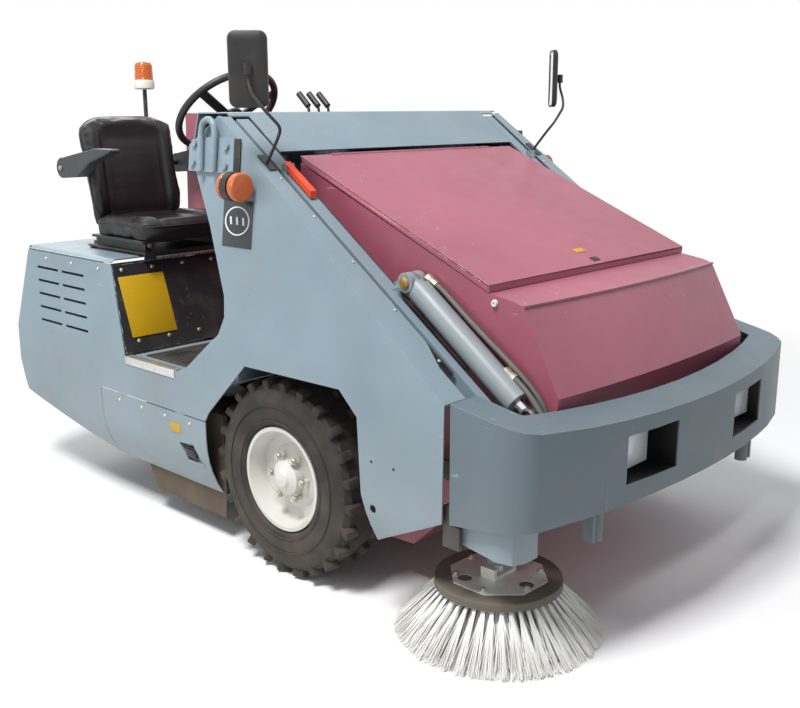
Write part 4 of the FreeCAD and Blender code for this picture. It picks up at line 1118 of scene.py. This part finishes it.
@dataclass
class Wheels:
    """Front and rear wheels: tyres with chunky lugs, dished rims, hub caps and nuts."""

    shop: Shop
    repeat: Repeater
    lugs: int = 24
    lug_size: tuple[float, float, float] = (0.030, 0.046, 0.052)
    steps: int = 96

    def build(self) -> None:
        """Make and dress the wheels."""
        for side, word in ((-1, "right"), (1, "left")):
            self.tyre(word)
            self.shop.cover("front_rim_" + word, Finish.WHITE, Finish.WHITE, 0.0015)
            self.nuts(side, word)
        self.shop.cover("rear_wheel", Finish.TYRE, Finish.TYRE, 0.008, 3)
        self.shop.cover("rear_fork", Finish.BLACK, Finish.BLACK_EDGE)

    def tyre(self, word: str) -> None:
        """One front tyre: a carcass a little under its CAD ring, and lugs up to it.

        Args:
            word: right or left.
        """
        low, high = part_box("front_tyre_" + word)
        centre = (low + high) / 2
        half = (high.x - low.x) / 2
        rim_r = 0.1775
        profile = ((rim_r, -half + 0.024), (rim_r + 0.012, -half + 0.010), (0.222, -half + 0.004),
                   (0.262, -half + 0.006), (0.300, -half + 0.016), (0.316, -half + 0.034),
                   (0.320, 0.0), (0.316, half - 0.034), (0.300, half - 0.016), (0.262, half - 0.006),
                   (0.222, half - 0.004), (rim_r + 0.012, half - 0.010), (rim_r, half - 0.024))
        carcass = bmesh.new()
        self.shop.lathe(carcass, profile, centre, (1, 0, 0), self.steps)
        for along in (-half + 0.0045, half - 0.0045):
            crest = along + math.copysign(0.0035, along)
            for ring_r in (0.196, 0.246):
                ridge = ((ring_r, along - 0.002), (ring_r + 0.0025, crest), (ring_r + 0.005, along - 0.002))
                self.shop.lathe(carcass, ridge, centre, (1, 0, 0), self.steps)
        tyre = self.shop.from_bmesh("front_tyre_%s_carcass" % word, carcass, Finish.TYRE)
        self.shop.hand_over(tyre, "wheel_" + word, "tyre", ["front_tyre_" + word])
        spots = []
        lug_r = 0.309
        for i in range(self.lugs):
            for row in (-1, 1):
                angle = math.tau * (i + (0.25 if row > 0 else -0.25)) / self.lugs
                out = Vector((0.16 * row, math.sin(angle), math.cos(angle))).normalized()
                middle = Vector((row * (half - 0.038), math.sin(angle) * lug_r, math.cos(angle) * lug_r))
                spots.append(Spot(centre + middle, out))
        breadth, length, depth = self.lug_size
        lugs = self.repeat.build("front_tyre_%s_lugs" % word, Repeat.LUG, spots, length, depth, breadth,
                                 Finish.TYRE)
        bevel = lugs.modifiers.new("round", "BEVEL")
        bevel.width = 0.004
        bevel.segments = 2
        self.shop.settle(lugs, 50)
        self.shop.hand_over(lugs, "wheel_" + word, "tyre")

    def nuts(self, side: int, word: str) -> None:
        """Zinc wheel nuts in the dish.

        Args:
            side: 1 for the left wheel and -1 for the right.
            word: right or left.
        """
        low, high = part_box("front_rim_" + word)
        centre = (low + high) / 2
        out = Vector((side, 0, 0))
        circle_r = 0.076
        turns = (math.tau * i / 6 for i in range(6))
        spots = [Spot(centre + out * 0.045 + Vector((0, math.cos(a), math.sin(a))) * circle_r, out)
                 for a in turns]
        nuts = self.repeat.build("wheel_nuts_" + word, Repeat.HEX_BOLT, spots, 0.010, 0.007, 0.0125,
                                 Finish.ZINC)
        self.shop.hand_over(nuts, "wheel_" + word, "zinc")


@dataclass
class Brooms:
    """Side broom and main broom with their bristles and arms."""

    shop: Shop
    repeat: Repeater
    tufts: int = 44
    per_tuft: int = 26
    seed: int = 7

    def build(self) -> None:
        """Make and dress the brooms."""
        self.shop.cover("side_broom_arm", Finish.GREY, Finish.GREY_EDGE)
        self.shop.cover("side_broom_disc", Finish.DISC, Finish.DISC, 0.004, 3)
        self.shop.cover("side_broom_plate", Finish.GALVANISED, Finish.GALVANISED, 0.0008)
        self.shop.cover("main_broom_arms", Finish.BLACK, Finish.BLACK_EDGE)
        self.side_bristles()
        self.main_bristles()
        self.plate_bolts()

    def side_bristles(self) -> None:
        """Tufts that fan out and down from the disc to the floor."""
        rng = random.Random(self.seed)
        low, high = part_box("side_broom_bristles")
        centre = (low + high) / 2
        reach = (high.x - low.x) / 2 - 0.004
        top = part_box("side_broom_disc")[0].z + 0.004
        length = 0.25
        spots = []
        for ring, root_r, tip_r in ((0, 0.172, reach), (1, 0.140, reach - 0.05)):
            for i in range(self.tufts):
                base = math.tau * (i + 0.5 * ring) / self.tufts
                for _ in range(self.per_tuft):
                    angle = base + rng.gauss(0, 0.012)
                    spread = base + rng.gauss(0, 0.045)
                    root = centre + Vector((math.cos(angle) * root_r, math.sin(angle) * root_r, 0))
                    root.z = top
                    tip_reach = tip_r - abs(rng.gauss(0, 0.012))
                    tip = centre + Vector((math.cos(spread) * tip_reach, math.sin(spread) * tip_reach, 0))
                    tip.z = 0.006 + abs(rng.gauss(0, 0.006))
                    way = tip - root
                    spots.append(Spot(root, way.normalized(), way.length / length))
        bristles = self.repeat.build("side_broom_tufts", Repeat.BRISTLE, spots, 0.0022, length, 0.0,
                                     Finish.BRISTLE)
        self.shop.hand_over(bristles, "side_broom", "bristle", ["side_broom_bristles"])

    def main_bristles(self) -> None:
        """Dark bristles all round the main broom's tube, in slanting rows."""
        rng = random.Random(self.seed + 1)
        low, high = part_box("main_broom")
        centre = (low + high) / 2
        radius = (high.z - low.z) / 2
        spots = []
        rows = 30
        along = 62
        root_r = 0.085
        for row in range(rows):
            for i in range(along):
                x = -0.49 + 0.98 * i / (along - 1)
                angle = math.tau * row / rows + x * 1.2 + rng.gauss(0, 0.02)
                out = Vector((rng.gauss(0, 0.03), math.cos(angle), math.sin(angle))).normalized()
                root = Vector((x, math.cos(angle) * root_r, math.sin(angle) * root_r))
                spots.append(Spot(centre + root, out))
        bristles = self.repeat.build("main_broom_rows", Repeat.BRISTLE, spots, 0.008, radius - 0.09, 0.0,
                                     Finish.DARK_BRISTLE)
        self.shop.hand_over(bristles, "sweep_broom", "bristle", ["main_broom"])
        core = bmesh.new()
        profile = ((0.0, -0.505), (0.09, -0.505), (0.09, 0.505), (0.0, 0.505))
        self.shop.lathe(core, profile, centre, (1, 0, 0), 40)
        tube = self.shop.from_bmesh("main_broom_tube", core, Finish.DISC)
        self.shop.hand_over(tube, "sweep_broom", "broom_disc")

    def plate_bolts(self) -> None:
        """Bolts of the side broom's plate."""
        low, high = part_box("side_broom_plate")
        centre = (low + high) / 2
        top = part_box("side_broom_disc")[1].z + 0.0032
        circle_r = 0.128
        turns = (math.tau * (i + 0.3) / 6 for i in range(6))
        spots = [Spot(Vector((centre.x + circle_r * math.cos(a), centre.y + circle_r * math.sin(a), top)),
                      Vector((0, 0, 1)))
                 for a in turns]
        bolts = self.repeat.build("side_broom_bolts", Repeat.HEX_BOLT, spots, 0.008, 0.005, 0.011,
                                  Finish.ZINC)
        self.shop.hand_over(bolts, "side_broom", "zinc")


@dataclass
class Cab:
    """Steering wheel, column, levers, pedals and mirrors."""

    shop: Shop
    repeat: Repeater
    hub: tuple[float, float, float] = (SEAT_X, 0.600, 1.478)
    tilt: float = COLUMN_TILT
    rim_r: float = 0.190
    grip_r: float = 0.0130
    mirror_x: float = 0.812
    mirror_y: float = 0.052
    mirror_turn: float = 43.0
    rim_rise: float = 0.046
    spline_pull: float = 1.0173     # a spline of 24 points runs this much inside them

    def build(self) -> None:
        """Make and dress every piece of the cab."""
        shop = self.shop
        shop.cover("steering_column", Finish.BLACK)
        for number in (1, 2, 3):
            shop.cover("control_lever_%d" % number, Finish.PLASTIC, Finish.PLASTIC, 0.002)
        shop.cover("brake_pedal", Finish.BLACK)
        shop.cover("drive_pedal", Finish.RUBBER, Finish.RUBBER, 0.003, 3)
        self.wheel()
        self.pedal_ribs()
        self.column_boot()
        self.mirrors()

    def wheel(self) -> None:
        """Steering wheel: grip, three flat spokes and a capped hub."""
        axis = Vector((0, math.sin(self.tilt), math.cos(self.tilt)))
        hub = self.shop.at(*self.hub)
        middle = hub + axis * self.rim_rise
        across = Vector((1, 0, 0))
        up = axis.cross(across)
        ring = [middle + (across * math.cos(a) + up * math.sin(a)) * self.rim_r * self.spline_pull
                for a in (math.tau * i / 24 for i in range(24))]
        rim = self.shop.tube("steering_rim", ring, self.grip_r, Finish.PLASTIC, closed=True, order=4, faces=8)
        self.shop.hand_over(rim, "hand_wheel", "plastic_black", ["steering_wheel"])
        spokes = bmesh.new()
        boss = ((0.0, -0.041), (0.030, -0.041), (0.034, -0.034), (0.034, 0.004), (0.046, 0.010),
                (0.044, 0.020), (0.030, 0.027), (0.0, 0.029))
        self.shop.lathe(spokes, boss, hub, axis, 48)
        for i in range(3):
            turn_angle = math.radians(90 + 120 * i)
            way = across * math.cos(turn_angle) + up * math.sin(turn_angle)
            start = hub + axis * 0.006 + way * 0.030
            end = middle + way * (self.rim_r - 0.004)
            line = end - start
            side = axis.cross(line).normalized()
            turn = Matrix((line.normalized(), side, line.normalized().cross(side))).transposed()
            self.shop.block(spokes, (start + end) / 2, (line.length, 0.034, 0.012), turn, 0.004, 3)
        self.shop.hand_over(self.shop.from_bmesh("steering_spokes", spokes, Finish.PLASTIC), "hand_wheel",
                            "plastic_black")

    def pedal_ribs(self) -> None:
        """Raised ribs across the drive pedal's tread."""
        low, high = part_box("drive_pedal")
        ribs = bmesh.new()
        middle = (low + high) / 2
        slope = math.atan2(high.z - low.z - 0.02, high.y - low.y)
        turn = Matrix.Rotation(-slope, 3, "X")
        for i in range(7):
            along = -0.075 + 0.025 * i
            place = middle + turn @ Vector((0, along, 0.0))
            self.shop.block(ribs, place, (high.x - low.x - 0.02, 0.008, 0.014), turn, 0.002)
        tread = self.shop.from_bmesh("drive_pedal_ribs", ribs, Finish.RUBBER)
        self.shop.hand_over(tread, "pedal_drive", "rubber")

    def column_boot(self) -> None:
        """Rubber boot where the column leaves the cowl."""
        axis = Vector((0, math.sin(self.tilt), math.cos(self.tilt)))
        foot = self.shop.at(*self.hub) - axis * 0.150
        profile = ((0.025, 0.070), (0.030, 0.066), (0.028, 0.058), (0.036, 0.050), (0.033, 0.042),
                   (0.042, 0.034), (0.038, 0.026), (0.048, 0.016), (0.052, 0.0), (0.025, 0.0))
        boot = bmesh.new()
        self.shop.lathe(boot, profile, foot, axis, 48)
        self.shop.hand_over(self.shop.from_bmesh("column_boot", boot, Finish.RUBBER), "chassis", "rubber")

    def mirrors(self) -> None:
        """Mirror heads with a rounded shell, a clamp and a glass, on their bent rods."""
        self.shop.cover("mirror_arms", Finish.BLACK)
        for side, word in ((-1, "right"), (1, "left")):
            low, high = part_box("mirror_" + word)
            pivot = self.shop.at(self.mirror_x * side, self.mirror_y, 0)
            pivot.z = (low.z + high.z) / 2
            turn = Matrix.Rotation(math.radians(self.mirror_turn) * side, 3, "Z")
            shell = bmesh.new()
            rings = ((0.014, 0.030), (0.016, 0.012), (0.020, 0.003), (0.026, 0.0), (0.0365, 0.0),
                     (0.038, 0.002), (0.038, 0.008), (0.036, 0.009))
            self.dish(shell, pivot, turn, (0.060, 0.113), rings)
            clamp = ((0.0, -0.016), (0.012, -0.016), (0.012, 0.016), (0.0, 0.016))
            self.shop.lathe(shell, clamp, pivot, (0, 0, 1), 24)
            neck = pivot + turn @ Vector((0, 0.012, 0))
            self.shop.block(shell, neck, (0.016, 0.012, 0.024), turn, 0.002)
            self.shop.hand_over(self.shop.from_bmesh("mirror_shell_" + word, shell, Finish.PLASTIC),
                                "glass_" + word, "plastic_black", ["mirror_" + word])
            glass = bmesh.new()
            self.dish(glass, pivot, turn, (0.051, 0.104), ((0.0355, 0.001), (0.0368, 0.0), (0.0372, 0.001)))
            self.shop.hand_over(self.shop.from_bmesh("mirror_glass_" + word, glass, Finish.MIRROR),
                                "glass_" + word, "zinc")

    @staticmethod
    def dish(bm: bmesh.types.BMesh, pivot: Vector, turn: Matrix, half: Point, rings: Sequence[Point]) -> None:
        """Add a rounded plate made of rounded rectangles: (depth, inset) for each ring.

        Args:
            bm: mesh it is added to.
            pivot: the head's pivot.
            turn: the head's turn.
            half: half width and half height of the widest ring.
            rings: depth behind the pivot and inset of each ring.
        """
        loops = []
        for depth, inset in rings:
            across = half[0] - inset
            up = half[1] - inset
            corner = max(0.004, 0.024 - inset * 0.5)
            loop = []
            for quarter in range(4):
                sx, sz = ((1, 1), (-1, 1), (-1, -1), (1, -1))[quarter]
                for step in range(6):
                    angle = math.pi / 2 * (quarter + step / 5)
                    x = sx * (across - corner) + corner * math.cos(angle)
                    z = sz * (up - corner) + corner * math.sin(angle)
                    loop.append(bm.verts.new(pivot + turn @ Vector((x, depth, z))))
            loops.append(loop)
        for one, two in zip(loops, loops[1:]):
            for i in range(len(one)):
                j = (i + 1) % len(one)
                bm.faces.new((one[i], one[j], two[j], two[i]))
        bm.faces.new(loops[0])
        bm.faces.new(loops[-1][::-1])


@dataclass
class Seat:
    """Seat with swollen vinyl pads, piping, armrests, pan, deck and rails."""

    shop: Shop
    repeat: Repeater
    cushion: tuple = ((0.846, 1.062), (0.884, 1.037), (1.234, 1.037), (1.234, 1.102), (1.18, 1.096),
                      (0.905, 1.108), (0.856, 1.102))
    back: tuple = ((1.254, 1.050), (1.268, 1.058), (1.350, 1.444), (1.357, 1.494), (1.328, 1.506),
                   (1.298, 1.484), (1.246, 1.160), (1.250, 1.120))
    cushion_half: float = 0.228
    back_half: float = 0.217
    voxel: float = 0.006
    pressure: float = 4.0
    cap: float = 0.016
    channel: float = 0.008
    seam_r: float = 0.0021
    seams_x: tuple[float, float] = (-0.135, 0.135)
    narrowing: float = 0.09
    corner: float = 0.045
    bolster: float = 0.60
    hollow: float = 0.030
    softening: int = 14
    calming: int = 16

    def build(self) -> None:
        """Make and dress the seat."""
        shop = self.shop
        shop.cover("seat_deck", Finish.BLACK, Finish.BLACK_EDGE)
        shop.cover("seat_pan", Finish.BLACK, Finish.BLACK_EDGE)
        self.pad("seat_cushion", self.cushion, self.cushion_half, Vector((0, 0, -1)))
        self.pad("seat_back", self.back, self.back_half, Vector((0, 0.974, -0.226)))
        for node in ("armrest_right", "armrest_left"):
            rest = shop.cover(node, Finish.VINYL_GREY, Finish.VINYL_GREY, 0.012, 5)
        self.bolts()
        self.hinge()

    def pad(self, node: str, outline: Sequence[tuple[float, float]], half: float, inward: Vector) -> None:
        """A stuffed pad from a side outline, with two sewn channels and piping.

        Args:
            node: the CAD pad it stands for.
            outline: (y, z) corners of the pad's side.
            half: half of its width.
            inward: direction from the sitter into the pad.
        """
        bm = bmesh.new()
        rings = [[bm.verts.new(self.shop.at(SEAT_X + x, y, z)) for y, z in outline] for x in (-half, half)]
        count = len(outline)
        bm.faces.new(rings[0])
        bm.faces.new(rings[1][::-1])
        for i in range(count):
            j = (i + 1) % count
            bm.faces.new((rings[0][i], rings[1][i], rings[1][j], rings[0][j]))
        pad = self.shop.from_bmesh(node + "_pad", bm, Finish.VINYL)
        remesh = pad.modifiers.new("grid", "REMESH")
        remesh.mode = "VOXEL"
        remesh.voxel_size = self.voxel
        self.relax(pad, self.softening)
        self.shape(pad, inward)
        self.inflate(pad)
        self.relax(pad, self.calming)
        self.sew(pad, inward)
        finer = pad.modifiers.new("finer", "SUBSURF")
        finer.levels = finer.render_levels = 1
        self.shop.settle(pad, 180)
        self.shop.hand_over(pad, "seat", "vinyl", [node])
        self.pipe(pad, inward)

    def relax(self, pad: bpy.types.Object, iterations: int) -> None:
        """Smooth a pad's surface, and turn its modifiers into mesh.

        Args:
            pad: the pad.
            iterations: how often its points move towards their neighbours.
        """
        smooth = pad.modifiers.new("soft", "SMOOTH")
        smooth.factor = 0.5
        smooth.iterations = iterations
        self.shop.settle(pad, 180)

    def shape(self, pad: bpy.types.Object, inward: Vector) -> None:
        """Round a pad's far corners, narrow it there, and hollow its middle between the bolsters.

        Args:
            pad: the pad.
            inward: direction from the sitter into the pad.
        """
        run = Vector((1, 0, 0)).cross(inward)
        along = [v.co.dot(run) for v in pad.data.vertices]
        low = min(along)
        high = max(along)
        half = max(abs(v.co.x - SEAT_X) for v in pad.data.vertices)
        far = 1 if run.z > 0.5 or run.y < -0.5 else -1
        for vertex, place in zip(pad.data.vertices, along):
            reach = ((place - low) / (high - low) * 2 - 1) * far
            side = (vertex.co.x - SEAT_X) / half
            narrow = 1 - self.narrowing * max(0.0, reach) ** 3 - 0.5 * self.narrowing * max(0.0, -reach) ** 4
            vertex.co.x = SEAT_X + side * half * narrow
            drop = self.corner * max(0.0, reach) ** 4 * side ** 4
            vertex.co -= run * (far * drop)
            facing = max(0.0, -vertex.normal.dot(inward))
            hollow = 1 / (1 + math.exp((abs(side) - self.bolster) * 22))
            ends = 1 - max(0.0, abs(reach) - 0.55) / 0.45
            vertex.co += inward * (self.hollow * facing * hollow * max(0.0, ends))
        pad.data.update()

    def inflate(self, pad: bpy.types.Object) -> None:
        """Swell a pad with a short cloth simulation, and cap how far it moves.

        Args:
            pad: the pad.
        """
        scene = bpy.context.scene
        rest = [v.co.copy() for v in pad.data.vertices]
        cloth = pad.modifiers.new("stuffing", "CLOTH")
        cloth.settings.use_pressure = True
        cloth.settings.uniform_pressure_force = self.pressure
        cloth.settings.effector_weights.gravity = 0
        for number in range(1, 21):
            scene.frame_set(number)
        graph = bpy.context.evaluated_depsgraph_get()
        swollen = [v.co.copy() for v in pad.evaluated_get(graph).data.vertices]
        pad.modifiers.clear()
        scene.frame_set(1)
        for vertex, old, new in zip(pad.data.vertices, rest, swollen):
            move = new - old
            if move.length > self.cap:
                move = move.normalized() * self.cap
            vertex.co = old + move

    def sew(self, pad: bpy.types.Object, inward: Vector) -> None:
        """Press two sewn channels into the sitter's side of a pad.

        Args:
            pad: the pad.
            inward: direction from the sitter into the pad.
        """
        for vertex in pad.data.vertices:
            facing = max(0.0, -vertex.normal.dot(inward))
            for seam in self.seams_x:
                off = (vertex.co.x - SEAT_X - seam) / 0.011
                vertex.co += inward * (self.channel * facing * math.exp(-off * off))
        pad.data.update()

    def pipe(self, pad: bpy.types.Object, inward: Vector) -> None:
        """Piping along the channels and round the pad's edge.

        Args:
            pad: the pad.
            inward: direction from the sitter into the pad.
        """
        tree = BVHTree.FromObject(pad, bpy.context.evaluated_depsgraph_get())
        axes = list(zip(*(v.co for v in pad.data.vertices)))
        low = Vector([min(axis) for axis in axes])
        high = Vector([max(axis) for axis in axes])
        middle = (low + high) / 2
        run = Vector((1, 0, 0)).cross(inward)
        lines = []
        for seam in self.seams_x:
            line = []
            for i in range(19):
                reach = (i / 18 - 0.5) * 0.94
                start = Vector((SEAT_X + seam, middle.y, middle.z)) - inward * 0.4 + run * (
                    reach * abs((high - low).dot(run)))
                hit = tree.ray_cast(start, inward)[0]
                if hit:
                    line.append(hit + inward * 0.0005)
            lines.append((line, False))
        edge = []
        for i in range(48):
            angle = math.tau * i / 48
            way = Vector((1, 0, 0)) * math.cos(angle) + run * math.sin(angle)
            hit = tree.ray_cast(middle - inward * 0.012 + way * 0.6, -way)[0]
            if hit:
                edge.append(hit)
        lines.append((edge, True))
        for number, (line, closed) in enumerate(lines):
            piping = self.shop.tube("%s_piping_%d" % (pad.name, number + 1), line, self.seam_r * (1 + closed),
                                    Finish.VINYL, closed, 3, 3)
            self.shop.hand_over(piping, "seat", "vinyl")

    def bolts(self) -> None:
        """Pivot bolts of the armrests and the screws of the slide rails."""
        spots = []
        for side in (-1, 1):
            x = SEAT_X + side * 0.2955
            spots.append(Spot(self.shop.at(x, 1.327, 1.293), Vector((side, 0, 0)), 0.7))
        for x in (SEAT_X - 0.165, SEAT_X + 0.165):
            spots.append(Spot(self.shop.at(x, 0.9395, 1.009), Vector((0, -1, 0)), 0.8))
        bolts = self.repeat.build("seat_bolts", Repeat.HEX_BOLT, spots, 0.010, 0.006, 0.014, Finish.ZINC)
        self.shop.hand_over(bolts, "seat", "zinc")

    def hinge(self) -> None:
        """Piano hinge knuckles along the deck's front edge."""
        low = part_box("seat_deck")[0]
        knuckles = bmesh.new()
        count = 9
        step = 0.30 / count
        for i in range(count):
            place = Vector((SEAT_X - 0.15 + step * (i + 0.5), low.y + 0.006, 0.961))
            end = step * 0.46
            self.shop.lathe(knuckles, ((0.0, -end), (0.0068, -end), (0.0068, end), (0.0, end)), place,
                            (1, 0, 0), 20)
        self.shop.hand_over(self.shop.from_bmesh("deck_hinge", knuckles, Finish.ZINC), "deck", "zinc")


@dataclass
class Lamps:
    """Turn signals and the beacon."""

    shop: Shop
    repeat: Repeater
    post_x: float = -0.230
    post_y: float = 1.500
    steps: int = 64

    def build(self) -> None:
        """Make and dress the lamps."""
        self.shop.cover("turn_signal_bodies", Finish.PLASTIC, Finish.PLASTIC, 0.003, 3)
        self.shop.cover("turn_signal_lenses", Finish.AMBER, Finish.AMBER, 0.009, 5)
        self.beacon()

    def beacon(self) -> None:
        """Ribbed amber dome on a white base and a black post."""
        foot = self.shop.at(self.post_x, self.post_y, 0.0)
        post = bmesh.new()
        self.shop.lathe(post, ((0.0, 0.9675), (0.040, 0.9675), (0.040, 0.977), (0.037, 0.979), (0.009, 0.979),
                               (0.009, 1.602), (0.0, 1.602)), foot, (0, 0, 1), 40)
        self.shop.hand_over(self.shop.from_bmesh("beacon_pole", post, Finish.BLACK), "chassis", "paint_black",
                            ["beacon_post"])
        base = bmesh.new()
        self.shop.lathe(base, ((0.0, 1.600), (0.036, 1.600), (0.043, 1.606), (0.0435, 1.632), (0.041, 1.640),
                               (0.0, 1.640)), foot, (0, 0, 1), self.steps)
        self.shop.hand_over(self.shop.from_bmesh("beacon_base", base, Finish.WHITE), "chassis", "white_rim")
        dome = bmesh.new()
        profile = [(0.0, 1.6402), (0.0395, 1.6402), (0.0395, 1.648)]
        for i in range(7):
            z = 1.650 + i * 0.007
            profile += [(0.0385 - i * 0.0002, z), (0.0395 - i * 0.0002, z + 0.0035)]
        profile += [(0.037, 1.702), (0.031, 1.713), (0.018, 1.7195), (0.0, 1.7215)]
        self.shop.lathe(dome, profile, foot, (0, 0, 1), self.steps)
        self.shop.hand_over(self.shop.from_bmesh("beacon_dome", dome, Finish.AMBER), "chassis", "amber",
                            ["beacon_lens"])


@dataclass
class Machinery:
    """What stands inside the cabinet and under the hood."""

    shop: Shop
    repeat: Repeater

    def build(self) -> None:
        """Make and dress the inner pieces."""
        self.shop.cover("engine_block", Finish.BLACK, Finish.BLACK_EDGE, 0.006, 3)
        self.shop.cover("radiator", Finish.ALUMINIUM)
        self.shop.cover("hydraulic_tank", Finish.TANK, Finish.TANK, 0.012, 4)


# ------------------------------------------------------------------ studio
@dataclass
class Studio:
    """Pale floor, white background, soft lights and the camera."""

    camera_place: tuple[float, float, float] = (-2.792, -2.7305, 1.524)
    camera_turn: tuple[float, float, float] = (76.34, 0.12, -46.7)
    lens: float = 45.75
    floor_size: float = 24.0
    floor_centre: tuple[float, float, float] = (0.0, 0.0, 0.0)
    floor_fade: tuple[float, float] = (1.9, 4.2)
    lights: tuple = (
        ((-3.3, -0.8, 6.2), (0.0, -0.2, 0.7), 1.8, 480.0),
        ((-5.2, 2.2, 2.6), (0.0, 0.2, 0.8), 3.0, 50.0),
        ((3.6, -3.0, 3.6), (0.0, -0.2, 0.8), 3.0, 20.0),
        ((1.6, 4.6, 4.2), (0.0, 0.4, 0.9), 3.0, 110.0))

    def build(self) -> None:
        """Make everything that isn't the object."""
        self.floor()
        self.world()
        for number, (place, target, size, power) in enumerate(self.lights):
            self.light(number, Vector(place), Vector(target), size, power)
        self.camera()

    def floor(self) -> None:
        """A wide pale floor."""
        half = self.floor_size / 2
        mesh = bpy.data.meshes.new("studio_floor")
        corners = [(-half, -half, 0), (half, -half, 0), (half, half, 0), (-half, half, 0)]
        mesh.from_pydata(corners, [], [(0, 1, 2, 3)])
        shader = Shader("studio_floor")
        away = shader.distance(self.floor_centre)
        shader.set(Base_Color=(0.88, 0.88, 0.88), Roughness=0.9,
                   Alpha=1 - shader.step(away, *self.floor_fade))
        mesh.materials.append(shader.material)
        floor = bpy.data.objects.new("studio_floor", mesh)
        bpy.context.scene.collection.objects.link(floor)

    def world(self) -> None:
        """White for the camera and reflections, and a softer grey as light."""
        world = bpy.data.worlds.new("studio")
        bpy.context.scene.world = world
        world.use_nodes = True
        nodes, link = world.node_tree.nodes, world.node_tree.links.new
        nodes.clear()
        out = nodes.new("ShaderNodeOutputWorld")
        mix = nodes.new("ShaderNodeMixShader")
        light = nodes.new("ShaderNodeBackground")
        shown = nodes.new("ShaderNodeBackground")
        path = nodes.new("ShaderNodeLightPath")
        first, second = (nodes.new("ShaderNodeMath") for _ in range(2))
        first.operation = second.operation = "MAXIMUM"
        light.inputs["Color"].default_value = (0.92, 0.95, 1.0, 1)
        light.inputs["Strength"].default_value = 0.36
        shown.inputs["Color"].default_value = (1, 1, 1, 1)
        shown.inputs["Strength"].default_value = 1.0
        link(path.outputs["Is Camera Ray"], first.inputs[0])
        link(path.outputs["Is Glossy Ray"], first.inputs[1])
        link(first.outputs[0], second.inputs[0])
        link(path.outputs["Is Transmission Ray"], second.inputs[1])
        link(second.outputs[0], mix.inputs[0])
        link(light.outputs[0], mix.inputs[1])
        link(shown.outputs[0], mix.inputs[2])
        link(mix.outputs[0], out.inputs["Surface"])

    def light(self, number: int, place: Vector, target: Vector, size: float, power: float) -> None:
        """One soft square light aimed at a point.

        Args:
            number: its number.
            place: where it stands.
            target: what it is aimed at.
            size: length of its side.
            power: its power in watts.
        """
        data = bpy.data.lights.new("studio_light_%d" % number, "AREA")
        data.size = size
        data.energy = power
        lamp = bpy.data.objects.new(data.name, data)
        lamp.location = place
        lamp.rotation_euler = (target - place).to_track_quat("-Z", "Y").to_euler()
        bpy.context.scene.collection.objects.link(lamp)

    def camera(self) -> None:
        """The camera, from the machine's front right."""
        data = bpy.data.cameras.new("camera")
        data.lens = self.lens
        data.sensor_width = 36.0
        data.clip_end = 200.0
        camera = bpy.data.objects.new("camera", data)
        camera.location = self.camera_place
        camera.rotation_euler = [math.radians(a) for a in self.camera_turn]
        bpy.context.scene.collection.objects.link(camera)
        bpy.context.scene.camera = camera
        bpy.context.scene.view_settings.view_transform = "Standard"


def main() -> None:
    """Build every sub-assembly in order, then the studio."""
    logging.basicConfig(level=logging.INFO, format="%(message)s")
    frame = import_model()
    shop = Shop(frame)
    repeat = Repeater(shop)
    for kind in (Body, FrontEnd, Wheels, Brooms, Cab, Seat, Lamps, Machinery):
        LOG.info("%s", kind.__doc__)
        kind(shop, repeat).build()
    Studio().build()


if __name__ == "__main__":
    main()
